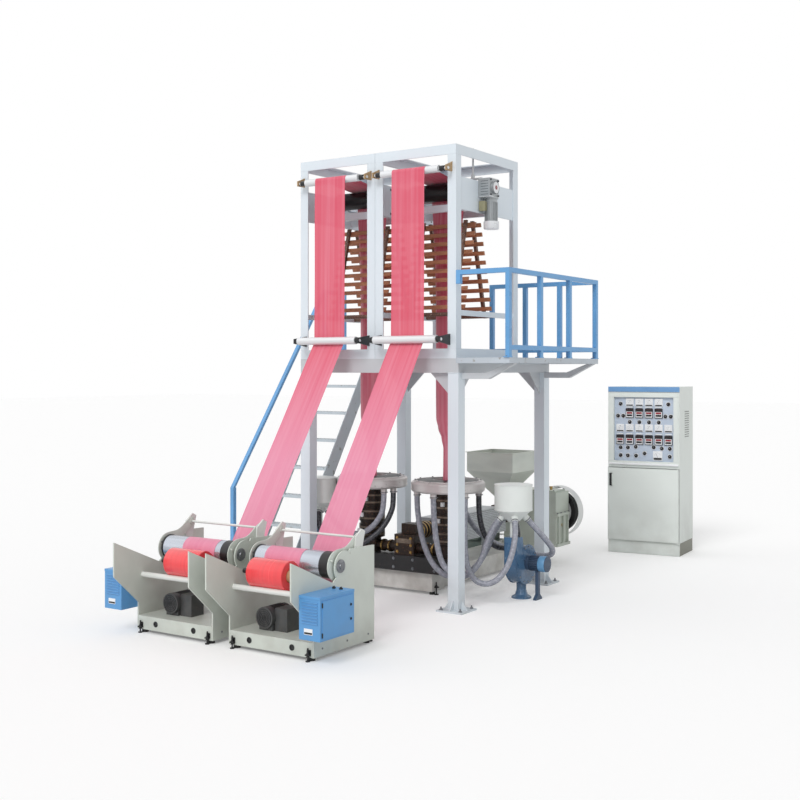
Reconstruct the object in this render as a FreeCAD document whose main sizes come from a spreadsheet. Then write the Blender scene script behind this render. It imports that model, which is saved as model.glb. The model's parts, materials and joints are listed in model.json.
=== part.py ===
import FreeCAD, Part
import math
import os
import re
import Sketcher

# Driving sizes in millimetres, angles in degrees
SIZES = {
    # tower
    "tower_width": 1510,
    "tower_depth": 1510,
    "column_side": 100,
    "column_height": 1920,
    "foot_side": 240,
    "foot_thick": 14,
    "anchor_hole": 18,
    "anchor_inset": 30,
    "foot_rib_rise": 80,
    "foot_rib_thick": 8,
    "ring_height": 117,
    "ring_width": 50,
    "joist_width": 60,
    "joist_drop": 15,
    "knee_leg": 190,
    "knee_thick": 12,
    "deck_thick": 5,
    # upper frames, one for each film
    "bay_depth": 1046,
    "bay_margin": 11,
    "bay_gap": 2,
    "nip_headroom": 308,
    "angle_side": 80,
    "angle_thick": 8,
    # walkway, railing and stair
    "walk_width": 485,
    "walk_front": 40,
    "walk_frame": 40,
    "rail_height": 705,
    "rail_tube": 38,
    "rail_back_long": 1050,
    "rail_drop": 110,
    "rail_posts": 4,
    "rail_back_posts": 3,
    "knee_rail_rise": 60,
    "strut_side": 50,
    "strut_drop": 165,
    "stair_width": 500,
    "stair_gap": 190,
    "stair_run": 1300,
    "stair_top_y": 448,
    "stringer_deep": 150,
    "stringer_thick": 8,
    "tread_count": 7,
    "tread_deep": 200,
    "tread_thick": 25,
    "handrail_rise": 880,
    "handrail_front": 60,
    "tread_back": 25,
    # film path
    "film_width": 320,
    "film_thick": 2,
    "film_clear": 5,
    "roller_clear": 5,
    "shaft_play": 0.3,
    "top_roller_size": 60,
    "top_roller_face": 560,
    "top_roller_out": 70,
    "top_roller_lift": 107,
    "guide_roller_size": 64,
    "guide_roller_face": 610,
    "guide_roller_rise": 153,
    "shaft_size": 24,
    # nip unit
    "nip_size": 150,
    "nip_face": 600,
    "nip_gap": 14,
    "nip_rise": 1416,
    "nip_plate_drop": 208,
    "nip_plate_rise": 265,
    "nip_plate_thick": 10,
    "tie_bar": 40,
    "worm_wide": 110,
    "worm_deep": 150,
    "worm_motor_size": 110,
    "worm_motor_long": 260,
    "fin_high": 9,
    "fin_count": 22,
    "fin_thick": 5,
    "cover_share": 0.24,
    "shield_share": 0.16,
    "worm_face_size": 105,
    "worm_face_thick": 14,
    "worm_motor_gap": 15,
    "worm_motor_back": 20,
    "screw_size": 16,
    "screw_x_in": 93,
    "crank_top": 38,
    "crank_long": 120,
    "screw_seat_clear": 7,
    "screw_seat_thick": 12,
    "screw_seat_wide": 40,
    # collapsing frames
    "slat_count": 10,
    "slat_long": 600,
    "slat_high": 34,
    "slat_thick": 16,
    "slat_rise": 433,
    "slat_nip_gap": 208,
    "fold_wide": 250,
    "fold_narrow": 40,
    "rail_side": 28,
    "rail_inset": 90,
    "side_bar_high": 45,
    "side_bar_rise": 348,
    "cross_tube": 34,
    # bubbles and dies
    "die_size": 230,
    "die_low": 330,
    "die_top": 985,
    "lip_size": 120,
    "die_shoulder": 18,
    "air_ring_size": 630,
    "air_ring_bore": 250,
    "air_ring_low": 905,
    "air_ring_high": 90,
    "neck_size": 90,
    "neck_high": 1400,
    "bubble_size": 210,
    "band_count": 3,
    "band_deep": 9,
    "neck_foot": 120,
    "base_neck": 130,
    # extruder
    "frame_low": 30,
    "frame_high": 165,
    "cross_left": 600,
    "cross_right": 250,
    "cross_front": 220,
    "cross_deep": 200,
    "spine_width": 400,
    "spine_back": 2050,
    "screw_high": 520,
    "barrel_size": 130,
    "clamp_wide": 24,
    "clamp_out": 8,
    "guard_shoulder": 60,
    "guard_leg": 60,
    "guard_width": 340,
    "guard_front": 60,
    "guard_long": 1100,
    "guard_high": 230,
    "hopper_side": 510,
    "hopper_y": 1400,
    "hopper_top": 1135,
    "hopper_straight": 190,
    "hopper_cone": 270,
    "hopper_sheet": 4,
    "hopper_lip": 14,
    "hopper_lip_thick": 5,
    "throat_side": 90,
    "feed_block": 160,
    "gearbox_left": 120,
    "gearbox_right": 500,
    "gearbox_front": 1600,
    "gearbox_deep": 290,
    "gearbox_top": 745,
    "gear_flange_out": 20,
    "gear_flange_thick": 28,
    "gear_split": 300,
    "gear_rib_thick": 14,
    "gear_cover_in": 45,
    "gear_cover_thick": 16,
    "gear_boss_size": 200,
    "gear_boss_out": 22,
    "pulley_x": 330,
    "pulley_high": 510,
    "pulley_size": 420,
    "pulley_wide": 70,
    "web_thick": 18,
    "rim_thick": 48,
    "hub_size": 110,
    "web_holes": 6,
    "web_hole_size": 74,
    "pulley_y": 1960,
    "guard_band_thick": 4,
    "groove_deep": 12,
    "groove_wide": 19,
    "groove_pitch": 22,
    "belt_wide": 17,
    "belt_thick": 11,
    "belt_play": 0.5,
    "motor_pulley_size": 140,
    "guard_gap": 41,
    "guard_wide": 110,
    "motor_x": 390,
    "motor_size": 240,
    "motor_high": 330,
    "motor_long": 400,
    "terminal_wide": 110,
    "terminal_long": 130,
    "terminal_out": 34,
    # air supply
    "blower_y": 30,
    "blower_out": 175,
    "blower_left_out": 75,
    "blower_left_y": 367.5,
    "blower_high": 305,
    "scroll_size": 380,
    "scroll_wide": 120,
    "scroll_shrink": 0.26,
    "scroll_lip": 6,
    "scroll_sheet": 4,
    "outlet_rise": 228,
    "inlet_size": 200,
    "inlet_out": 26,
    "foot_flare": 85,
    "foot_neck": 42,
    "foot_flange": 12,
    "prop_wide": 110,
    "prop_thick": 30,
    "outlet_deep": 95,
    "fan_motor_size": 130,
    "fan_motor_long": 190,
    "drum_y": 150,
    "air_drum_size": 320,
    "air_drum_low": 760,
    "air_drum_high": 220,
    "air_cone_high": 100,
    "air_pipe_size": 60,
    "hose_size": 50,
    "port_long": 40,
    "hose_straight": 60,
    "port_sunk": 25,
    "port_tilt": 42,
    "port_foot": 95,
    "port_foot_rise": 50,
    "drum_port_long": 45,
    # winders
    "winder_width": 756,
    "winder_rear": 2015,
    "winder_deep": 696,
    "winder_base_low": 25,
    "winder_base_high": 100,
    "sheet": 5,
    "winder_spread": 110,
    "side_thick": 12,
    "lobe_reach": 240,
    "lobe_low": 440,
    "lobe_top": 690,
    "lobe_foot": 223,
    "valley_y": 2500,
    "valley_high": 495,
    "ear_top": 705,
    "nose_y": 2370,
    "nose_high": 590,
    "nose_size": 220,
    "drum_size": 180,
    "drum_axis_y": 2420,
    "drum_axis_high": 600,
    "drum_face": 640,
    "end_disc": 14,
    "roll_size": 208,
    "roll_axis_high": 530,
    "core_size": 90,
    "core_extra": 30,
    "roll_shaft": 45,
    "roll_shaft_extra": 75,
    "rest_bar": 40,
    "idler_size": 60,
    "idler_y": 2110,
    "idler_high": 440,
    "arm_y": 2170,
    "arm_high": 765,
    "rod_size": 18,
    "box_long": 370,
    "box_wide": 175,
    "box_high": 285,
    "box_low": 185,
    "box_front": 2870,
    "take_motor_size": 150,
    "take_motor_long": 230,
    # control cabinet
    "cab_width": 770,
    "cab_depth": 520,
    "cab_height": 1765,
    "cab_x": 868,
    "cab_y": 3100,
    "cab_turn": 5,
    "cab_sheet": 3,
    "cab_plinth": 135,
    "cab_door_top": 910,
    "cab_panel_low": 975,
    "cab_panel_high": 690,
    "cab_panel_deep": 25,
    "cab_gap": 5,
    "cab_pin_inset": 12,
    "cab_pin_out": 18,
    "cab_door_thick": 20,
}

# Sizes that follow from others: the frames stand on the tower, and the winders and blowers beside it
DERIVED = {
    "bay_width": "(tower_width + column_side - bay_gap) / 2 - bay_margin",
    "upper_height": "nip_rise + nip_headroom",
    "top_roller_rise": "nip_rise + top_roller_lift",
    "slat_span": "nip_rise - nip_size / 2 - slat_rise - slat_nip_gap",
    "nip_high": "column_height + ring_height + nip_rise",
    "nip_plate_low": "column_height + ring_height + nip_rise - nip_plate_drop",
    "top_roller_high": "column_height + ring_height + top_roller_rise",
    "guide_roller_high": "column_height + ring_height + guide_roller_rise",
    "slat_low": "column_height + ring_height + slat_rise",
    "slat_top": "column_height + ring_height + slat_rise + slat_span",
    "side_bar_low": "column_height + ring_height + side_bar_rise",
    "blower_x": "tower_width / 2 + blower_out",
    "blower_left_x": "tower_width / 2 + blower_left_out",
    "winder_pitch": "(tower_width + column_side - bay_gap) / 2 - bay_margin + bay_gap + winder_spread",
}

doc = FreeCAD.newDocument("film_machine")
sheet = doc.addObject("Spreadsheet::Sheet", "sizes")
for row, alias in enumerate(list(SIZES) + list(DERIVED), start=1):
    sheet.set("A%d" % row, alias)
    sheet.set("B%d" % row, str(SIZES[alias]) if alias in SIZES else "=" + DERIVED[alias])
    sheet.setAlias("B%d" % row, alias)
doc.recompute()

PARTS = {}
SHARED = {}
X_AXIS = FreeCAD.Vector(1, 0, 0)
Y_AXIS = FreeCAD.Vector(0, 1, 0)
Z_AXIS = FreeCAD.Vector(0, 0, 1)
TURNS = {"z": FreeCAD.Rotation(), "x": FreeCAD.Rotation(Y_AXIS, 90), "y": FreeCAD.Rotation(X_AXIS, -90)}


def cell(alias):
    return float(sheet.get(alias))


def formula(text):
    """Puts the sheet's name before every size that a formula names."""
    def named(match):
        word = match.group(0)
        return "sizes." + word if word in SIZES or word in DERIVED else word
    return re.sub(r"[a-z][a-z0-9_]*", named, str(text))


def bind(thing, **formulas):
    for name, text in formulas.items():
        thing.setExpression(name, formula(text))
    return thing


def place(thing, at, axis="z"):
    thing.Placement = FreeCAD.Placement(FreeCAD.Vector(0, 0, 0), TURNS[axis])
    for letter, text in zip("xyz", at):
        thing.setExpression("Placement.Base." + letter, formula(text))
    return thing


def box(name, long, wide, high, at):
    return place(bind(doc.addObject("Part::Box", name), Length=long, Width=wide, Height=high), at)


def rod(name, size, long, at, axis="z"):
    """A round bar of a diameter, from its start point along an axis."""
    bar = bind(doc.addObject("Part::Cylinder", name), Radius="(%s) / 2" % size, Height=long)
    return place(bar, at, axis)


def finned(name, size, long, at, axis):
    """A motor body with straight cooling fins all round it."""
    outer = cell(size) / 2
    inner = outer - cell("fin_high")
    half = cell("fin_thick") / 2
    count = int(cell("fin_count"))
    corners = []
    for i in range(count):
        for reach, lean in ((inner, -half / inner), (outer, -half / outer), (outer, half / outer), (inner, half / inner)):
            turn = 2 * math.pi * i / count + lean
            corners.append(FreeCAD.Vector(reach * math.cos(turn), reach * math.sin(turn), 0))
    feature = doc.addObject("Part::Feature", name)
    feature.Shape = Part.Face(Part.makePolygon(corners + [corners[0]])).extrude(FreeCAD.Vector(0, 0, long))
    return place(feature, at, axis)


def motor(name, size, long, at, axis, cover_first):
    """A motor from end to end: fan cover, finned body and end shield, in that order or the other."""
    way = "xyz".index(axis)
    cover = cell("cover_share")
    shield = cell("shield_share")
    first, last = (cover, shield) if cover_first else (shield, cover)

    def spot(share):
        return [text if i != way else "%s + (%s) * %s" % (text, long, share) for i, text in enumerate(at)]
    ends = []
    for end, start, share in (("first", 0, first), ("last", 1 - last, last)):
        is_cover = (end == "first") == cover_first
        wide = size if is_cover else "%s - fin_high" % size
        ends.append(rod("%s_%s" % (name, end), wide, "(%s) * %s" % (long, share), spot(start), axis))
    body = finned(name + "_fins", size, cell(long) * (1 - first - last), spot(first), axis)
    return fuse(name, ends + [body])


def cone(name, size_low, size_high, high, at, axis="z"):
    solid = doc.addObject("Part::Cone", name)
    bind(solid, Radius1="(%s) / 2" % size_low, Radius2="(%s) / 2" % size_high, Height=high)
    return place(solid, at, axis)


def fuse(name, pieces):
    joined = doc.addObject("Part::MultiFuse", name)
    joined.Shapes = pieces
    joined.Refine = True
    return joined


def cut(name, base, tools):
    result = doc.addObject("Part::Cut", name)
    result.Base = base
    result.Tool = tools[0] if len(tools) == 1 else fuse(name + "_tool", tools)
    result.Refine = True
    return result


def group(name, pieces):
    together = doc.addObject("Part::Compound", name)
    together.Links = pieces
    return together


def shared(node, *pieces):
    """Adds separate solids to a node that like pieces share."""
    SHARED.setdefault(node, []).extend(pieces)


def sub_part(node, thing):
    thing.Label = node
    PARTS[node] = thing
    return thing


def plane_of(body, role):
    return [feature for feature in body.Origin.OriginFeatures if feature.Role == role][0]


def outline(body, role, corners):
    """A closed sketch with each corner held at its formula's place."""
    sketch = body.newObject("Sketcher::SketchObject", body.Name + "_outline")
    sketch.AttachmentSupport = [(plane_of(body, role), "")]
    sketch.MapMode = "FlatFace"
    count = len(corners)
    spread = [FreeCAD.Vector(math.cos(2 * math.pi * i / count), math.sin(2 * math.pi * i / count), 0)
              for i in range(count)]
    for i in range(count):
        sketch.addGeometry(Part.LineSegment(spread[i], spread[(i + 1) % count]), False)
    for i in range(count):
        sketch.addConstraint(Sketcher.Constraint("Coincident", i, 2, (i + 1) % count, 1))
    for i, (across, up) in enumerate(corners):
        for kind, now, text in (("DistanceX", spread[i].x, across), ("DistanceY", spread[i].y, up)):
            index = sketch.addConstraint(Sketcher.Constraint(kind, -1, 1, i, 1, now))
            sketch.setExpression("Constraints[%d]" % index, formula(text))
    return sketch


def pad(name, role, corners, thick, at):
    """A plate with a drawn outline, thick along the axis that its plane faces."""
    body = doc.addObject("PartDesign::Body", name)
    sketch = outline(body, role, corners)
    solid = body.newObject("PartDesign::Pad", name + "_pad")
    solid.Profile = sketch
    solid.Reversed = role == "XZ_Plane"
    bind(solid, Length=thick)
    return place(body, at)


def turned(name, corners, at):
    """A round piece from its half section, drawn as radius and height."""
    body = doc.addObject("PartDesign::Body", name)
    sketch = outline(body, "XZ_Plane", corners)
    solid = body.newObject("PartDesign::Revolution", name + "_turn")
    solid.Profile = sketch
    solid.ReferenceAxis = (sketch, ["V_Axis"])
    solid.Angle = 360
    return place(body, at)


def rounded_route(points, radii):
    """Straight runs joined by tangent arcs, as one wire."""
    edges = []
    start = points[0]
    for i in range(1, len(points) - 1):
        back = (points[i - 1] - points[i]).normalize()
        ahead = (points[i + 1] - points[i]).normalize()
        half = back.getAngle(ahead) / 2
        reach = radii[i - 1] / math.tan(half)
        middle = (back + ahead).normalize()
        centre = points[i] + middle * (radii[i - 1] / math.sin(half))
        enter = points[i] + back * reach
        leave = points[i] + ahead * reach
        edges.append(Part.LineSegment(start, enter).toShape())
        edges.append(Part.Arc(enter, centre - middle * radii[i - 1], leave).toShape())
        start = leave
    edges.append(Part.LineSegment(start, points[-1]).toShape())
    return Part.Wire(edges)


def hose_radii(points):
    """Each bend as large as its two runs allow."""
    radii = []
    for i in range(1, len(points) - 1):
        run_in = (points[i] - points[i - 1]).Length
        run_out = (points[i + 1] - points[i]).Length
        turn = math.pi - (points[i - 1] - points[i]).getAngle(points[i + 1] - points[i])
        radii.append(0.45 * min(run_in, run_out) / math.tan(turn / 2))
    return radii


def hose(node, points, size):
    """A round hose along a hand-set route."""
    radii = hose_radii(points)
    route = rounded_route(points, radii)
    ring = Part.Wire(Part.Circle(points[0], points[1] - points[0], size / 2).toShape())
    solid = route.makePipeShell([ring], True, False)
    expected = math.pi * size * size / 4 * route.Length
    print(node, "radii", [round(radius) for radius in radii], "length", round(route.Length),
          "volume ratio", round(solid.Volume / expected, 4))
    feature = doc.addObject("Part::Feature", node)
    feature.Shape = solid
    return sub_part(node, feature)


def belt_route(circles):
    """Tangent path in the YZ plane round circles given as y, z, radius and turn (+1, -1 or 0)."""
    spans = []
    for (y0, z0, r0, t0), (y1, z1, r1, t1) in zip(circles, circles[1:]):
        reach = math.hypot(y1 - y0, z1 - z0)
        heading = math.atan2(z1 - z0, y1 - y0) - math.asin((t1 * r1 - t0 * r0) / reach)
        left = (-math.sin(heading), math.cos(heading))
        spans.append((heading,
                      (y0 - left[0] * t0 * r0, z0 - left[1] * t0 * r0),
                      (y1 - left[0] * t1 * r1, z1 - left[1] * t1 * r1)))
    edges = []
    for i, (heading, leave, enter) in enumerate(spans):
        edges.append(Part.LineSegment(FreeCAD.Vector(0, *leave), FreeCAD.Vector(0, *enter)).toShape())
        if i + 1 < len(spans):
            y, z, radius, turn = circles[i + 1]
            following = spans[i + 1][0]
            while turn * (following - heading) < 0:
                following += turn * 2 * math.pi
            middle = (heading + following) / 2
            halfway = FreeCAD.Vector(0, y + math.sin(middle) * turn * radius, z - math.cos(middle) * turn * radius)
            away = FreeCAD.Vector(0, *spans[i + 1][1])
            edges.append(Part.Arc(FreeCAD.Vector(0, *enter), halfway, away).toShape())
    return Part.Wire(edges)


# Places shared by many pieces
LEFT = "(-tower_width / 2 - column_side / 2)"
FRONT = "(-tower_depth / 2 - column_side / 2)"
TOP = "(column_height + ring_height)"
SIDES = ("left", "right")
SIGN = {"left": "-1", "right": "1"}
BAY_X = {"left": "(%s + bay_width / 2)" % LEFT, "right": "(%s + bay_width * 1.5 + bay_gap)" % LEFT}
BAY_Y = "(%s + bay_depth / 2)" % FRONT
BAY_TOP = "(%s + upper_height)" % TOP
WINDER_X = {"left": "(-winder_pitch / 2)", "right": "(winder_pitch / 2)"}
FILM_Y = "(%s - top_roller_out - top_roller_size / 2 - film_clear - film_thick / 2)" % FRONT
BLOWER = {"left": ("(-blower_left_x)", "(-blower_left_y)"), "right": ("blower_x", "blower_y")}
BAY_SHIFT = {"left": cell("bay_width") / 2, "right": cell("bay_width") * 1.5 + cell("bay_gap")}
PORT_ANGLES = {"left": (-32, -10), "right": (-146, -86, -26, 34, 94)}
DRUM_ANGLES = {"left": (350, 305), "right": (168, 214, 304, 110, 34)}
CORNERS = [(sx, sy) for sx in (-1, 1) for sy in (-1, 1)]


def columns():
    legs = []
    for i, (sx, sy) in enumerate(CORNERS):
        name = "column_%d" % i
        x = "%d * tower_width / 2" % sx
        y = "%d * tower_depth / 2" % sy
        post = box(name, "column_side", "column_side", "column_height - foot_thick",
                   (x + " - column_side / 2", y + " - column_side / 2", "foot_thick"))
        plate = box(name + "_foot", "foot_side", "foot_side", "foot_thick",
                    (x + " - foot_side / 2", y + " - foot_side / 2", "0"))
        reach = "(foot_side / 2 - anchor_inset)"
        holes = [rod("%s_hole_%d" % (name, j), "anchor_hole", "foot_thick",
                     ("%s + %d * %s" % (x, hx, reach), "%s + %d * %s" % (y, hy, reach), "0"))
                 for j, (hx, hy) in enumerate(CORNERS)]
        ribs = []
        for j, (dx, dy) in enumerate(((1, 0), (-1, 0), (0, 1), (0, -1))):
            role = "XZ_Plane" if dx else "YZ_Plane"
            way = dx + dy
            near = "%d * column_side / 2" % way
            far = "%d * (foot_side / 2 - 10)" % way
            triangle = [(near, "0"), (far, "0"), (near, "foot_rib_rise")]
            at = (x, y + " - foot_rib_thick / 2", "foot_thick") if dx else (x + " - foot_rib_thick / 2", y, "foot_thick")
            ribs.append(pad("%s_rib_%d" % (name, j), role, triangle, "foot_rib_thick", at))
        legs.append(fuse(name + "_leg", [post, cut(name + "_plate", plate, holes)] + ribs))
    sub_part("columns", group("columns", legs))


def ring_beam():
    wide = "tower_width + column_side"
    deep = "tower_depth + column_side"
    outer = box("ring_outer", wide, deep, "ring_height", (LEFT, FRONT, "column_height"))
    inner = box("ring_inner", wide + " - 2 * ring_width", deep + " - 2 * ring_width", "ring_height",
                (LEFT + " + ring_width", FRONT + " + ring_width", "column_height"))
    ring = cut("ring", outer, [inner])
    across = box("joist_across", wide + " - 2 * ring_width", "joist_width", "ring_height - joist_drop",
                 (LEFT + " + ring_width", FRONT + " + bay_depth - joist_width", "column_height + joist_drop"))
    along = box("joist_along", "joist_width", deep + " - 2 * ring_width", "ring_height - joist_drop",
                (LEFT + " + bay_width - joist_width / 2", FRONT + " + ring_width", "column_height + joist_drop"))
    sub_part("ring_beam", fuse("ring_beam", [ring, across, along]))


def knees():
    """Triangular plates between each column and the ring, in both directions."""
    plates = []
    for i, (sx, sy) in enumerate(CORNERS):
        x = "%d * tower_width / 2" % sx
        y = "%d * tower_depth / 2" % sy
        for role, way, at in (
                ("XZ_Plane", sx, (x, y + " - knee_thick / 2", "column_height")),
                ("YZ_Plane", sy, (x + " - knee_thick / 2", y, "column_height"))):
            near = "%d * column_side / 2" % -way
            far = "%d * (column_side / 2 + knee_leg)" % -way
            plates.append(pad("knee_%d_%s" % (i, role[0]), role,
                              [(near, "0"), (far, "0"), (near, "-knee_leg")], "knee_thick", at))
    shared("tower_brackets", *plates)


def deck():
    behind = "tower_depth + column_side - bay_depth"
    plate = box("deck_sheet", "tower_width + column_side", behind, "deck_thick", (LEFT, FRONT + " + bay_depth", TOP))
    landing = box("stair_landing", "stair_width + stair_gap", "-%s - stair_top_y" % FRONT,
                  "walk_frame", (LEFT + " - stair_gap - stair_width", "stair_top_y", TOP + " - walk_frame + deck_thick"))
    sub_part("deck_plates", fuse("deck_plates", [plate, landing]))


def upper_frame(side):
    x = BAY_X[side]
    low_x = x + " - bay_width / 2"
    posts = []
    rise = "upper_height - 2 * angle_side"
    for i, (sx, sy) in enumerate(CORNERS):
        leg = []
        px = "%s + %d * bay_width / 2" % (x, sx)
        py = "%s + %d * bay_depth / 2" % (BAY_Y, sy)
        corner_x = px if sx < 0 else px + " - angle_side"
        corner_y = py if sy < 0 else py + " - angle_side"
        flat_y = py if sy < 0 else py + " - angle_thick"
        flat_x = px if sx < 0 else px + " - angle_thick"
        name = "post_%s_%d" % (side, i)
        leg.append(box(name + "_a", "angle_side", "angle_thick", rise, (corner_x, flat_y, TOP + " + angle_side")))
        leg.append(box(name + "_b", "angle_thick", "angle_side", rise, (flat_x, corner_y, TOP + " + angle_side")))
        posts.append(fuse(name, leg))
    shared("upper_posts", *posts)
    rings = []
    for level, z, hollow in (("low", TOP, "angle_thick"), ("high", BAY_TOP + " - angle_side", "-angle_thick")):
        name = "frame_%s_%s" % (side, level)
        whole = box(name + "_whole", "bay_width", "bay_depth", "angle_side", (low_x, FRONT, z))
        well = box(name + "_well", "bay_width - 2 * angle_thick", "bay_depth - 2 * angle_thick", "angle_side",
                   (low_x + " + angle_thick", FRONT + " + angle_thick", "%s + %s" % (z, hollow)))
        hole = box(name + "_hole", "bay_width - 2 * angle_side", "bay_depth - 2 * angle_side", "angle_side",
                   (low_x + " + angle_side", FRONT + " + angle_side", z))
        rings.append(cut(name, whole, [well, hole]))
    shared("upper_rings", *rings)


def walkway():
    start = "(tower_width / 2 + column_side / 2)"
    low_y = "(%s - walk_front)" % FRONT
    long = "tower_depth + column_side + walk_front"
    plate = box("walk_plate", "walk_width", long, "deck_thick", (start, low_y, TOP))
    edge = box("walk_edge", "walk_width", long, "walk_frame", (start, low_y, TOP + " - walk_frame"))
    well = box("walk_well", "walk_width - 2 * walk_frame", long + " - 2 * walk_frame", "walk_frame",
               (start + " + walk_frame", low_y + " + walk_frame", TOP + " - walk_frame"))
    sub_part("walkway_deck", fuse("walkway_deck", [plate, cut("walk_frame_ring", edge, [well])]))
    struts = []
    for i, y in enumerate(("(%s + strut_side)" % FRONT, "(-%s - strut_side * 2)" % FRONT)):
        corners = [("0", "-strut_drop"), ("walk_width * 0.5", "-strut_drop"), ("walk_width", "-walk_frame"),
                   ("walk_width - strut_side * 1.3", "-walk_frame"),
                   ("walk_width * 0.5 - strut_side * 0.4", "-strut_drop + strut_side"),
                   ("0", "-strut_drop + strut_side")]
        struts.append(pad("strut_%d" % i, "XZ_Plane", corners, "strut_side", (start, y, TOP)))
    shared("tower_brackets", *struts)


def railing():
    """Posts and rails round the walkway and along the deck's back edge."""
    low = "(%s + deck_thick)" % TOP
    top = "(%s + rail_height)" % TOP
    near_y = "(%s - walk_front)" % FRONT
    far_y = "(-%s - rail_tube)" % FRONT
    out_x = "(tower_width / 2 + column_side / 2 + walk_width - rail_tube)"
    in_x = "(-%s)" % LEFT
    pieces = []

    def post(name, x, y, foot=low):
        pieces.append(box(name, "rail_tube", "rail_tube", "%s - %s" % (top, foot), (x, y, foot)))
    span = "(%s - %s)" % (far_y, near_y)
    for i in range(int(cell("rail_posts"))):
        post("rail_post_%d" % i, out_x, "%s + %s * %d / (rail_posts - 1)" % (near_y, span, i))
    back_from = "(%s - rail_back_long)" % out_x
    for i in range(int(cell("rail_back_posts"))):
        post("rail_back_%d" % i, "%s + rail_back_long * %d / rail_back_posts" % (back_from, i), far_y)
    pieces.append(box("rail_front", "%s - %s" % (out_x, in_x), "rail_tube", "rail_tube",
                      (in_x, near_y, top + " - rail_tube")))
    pieces.append(box("rail_front_drop", "rail_tube", "rail_tube", "rail_drop", (in_x, near_y, top + " - rail_drop")))
    for level, z in (("top", top + " - rail_tube"), ("knee", low + " + knee_rail_rise")):
        pieces.append(box("rail_side_" + level, "rail_tube", span, "rail_tube", (out_x, near_y, z)))
        pieces.append(box("rail_rear_" + level, "rail_back_long", "rail_tube", "rail_tube", (back_from, far_y, z)))
    sub_part("railing", fuse("railing", pieces))


def stair():
    right = "(%s - stair_gap)" % LEFT
    left = "(%s - stair_width)" % right
    foot_y = "(stair_top_y - stair_run)"
    slope = "(%s / stair_run)" % TOP
    for name, x in (("stair_stringer_left", left), ("stair_stringer_right", right + " - stringer_thick")):
        corners = [(foot_y, "0"), (foot_y + " + stringer_deep * 1.15", "0"),
                   ("stair_top_y", "%s * (1 - stringer_deep * 1.15 / stair_run)" % TOP), ("stair_top_y", TOP)]
        shared("stair_stringers", pad(name, "YZ_Plane", corners, "stringer_thick", (x, "0", "0")))
    treads = []
    for i in range(1, int(cell("tread_count")) + 1):
        share = "(%d / (tread_count + 1))" % i
        treads.append(box("tread_%d" % i, "stair_width - 2 * stringer_thick", "tread_deep * 0.6", "tread_thick",
                          (left + " + stringer_thick", "%s + stair_run * %s + tread_back" % (foot_y, share),
                           "%s * %s - tread_thick / 2" % (TOP, share))))
    sub_part("stair_treads", group("stair_treads", treads))
    hand = [box("hand_foot", "rail_tube", "rail_tube", "handrail_rise",
                (left + " - rail_tube", foot_y + " - handrail_front", "0"))]
    rail = pad("hand_slope", "YZ_Plane",
               [(foot_y + " - handrail_front", "handrail_rise - rail_tube"), (foot_y + " - handrail_front", "handrail_rise"),
                ("stair_top_y", TOP + " + rail_height"), ("-%s" % FRONT, TOP + " + rail_height"),
                ("-%s" % FRONT, TOP + " + rail_height - rail_tube"),
                ("stair_top_y + 10", TOP + " + rail_height - rail_tube")],
               "rail_tube", (left + " - rail_tube", "0", "0"))
    hand.append(rail)
    for i, y in enumerate(("stair_top_y", "-%s - rail_tube" % FRONT)):
        hand.append(box("hand_post_%d" % i, "rail_tube", "rail_tube", "rail_height + walk_frame",
                        (left + " - rail_tube", y, TOP + " - walk_frame")))
    sub_part("stair_handrail", fuse("stair_handrail", hand))


def roller(node, x, y, z, size, face, shaft_long, extra=()):
    """A roller on its shaft, lying along X about its middle."""
    barrel = rod(node + "_barrel", size, face, ("%s - (%s) / 2" % (x, face), y, z), "x")
    shaft = rod(node + "_shaft", "shaft_size", shaft_long, ("%s - (%s) / 2" % (x, shaft_long), y, z), "x")
    return sub_part(node, fuse(node, [barrel, shaft] + list(extra)))


NIP_Y = {"front": "(%s - nip_size / 2 - nip_gap / 2)" % BAY_Y,
         "rear": "(%s + nip_size / 2 + nip_gap / 2)" % BAY_Y}


def nip_frame(side):
    x = BAY_X[side]
    inner = "(bay_width / 2 - angle_thick - nip_plate_thick)"
    pieces = []
    for i, sx in enumerate((-1, 1)):
        low_x = "%s + %s" % (x, inner) if sx > 0 else "%s - %s - nip_plate_thick" % (x, inner)
        name = "nip_plate_%s_%d" % (side, i)
        plate = box(name, "nip_plate_thick", "bay_depth - 2 * angle_thick", "nip_plate_rise",
                    (low_x, FRONT + " + angle_thick", "nip_plate_low"))
        bores = [rod("%s_bore_%s" % (name, end), "shaft_size + 2 * shaft_play", "nip_plate_thick",
                     (low_x, NIP_Y[end], "nip_high"), "x") for end in NIP_Y]
        pieces.append(cut(name + "_bored", plate, bores))
    for end, shift in (("front", "- nip_size * 0.9"), ("rear", "+ nip_size * 0.9")):
        pieces.append(box("nip_bar_%s_%s" % (side, end), "2 * %s" % inner, "tie_bar", "tie_bar * 1.5",
                          ("%s - %s" % (x, inner), "%s %s - tie_bar / 2" % (NIP_Y[end], shift),
                           "nip_plate_low + 20")))
    shared("haul_off_frames", fuse("nip_frame_" + side, pieces))


def nip_rollers():
    """Each nip roller is a pair of drums on one shaft through both bays."""
    start = "(%s - bay_width / 2 + angle_thick)" % BAY_X["left"]
    stop = "(%s + bay_width / 2 - angle_thick)" % BAY_X["right"]
    for end in NIP_Y:
        shaft = rod("nip_shaft_" + end, "shaft_size", "%s - %s" % (stop, start), (start, NIP_Y[end], "nip_high"), "x")
        drums = [rod("nip_drum_%s_%s" % (end, side), "nip_size", "nip_face",
                     (BAY_X[side] + " - nip_face / 2", NIP_Y[end], "nip_high"), "x") for side in SIDES]
        sub_part("nip_roller_" + end, fuse("nip_roller_" + end, [shaft] + drums))


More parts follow.
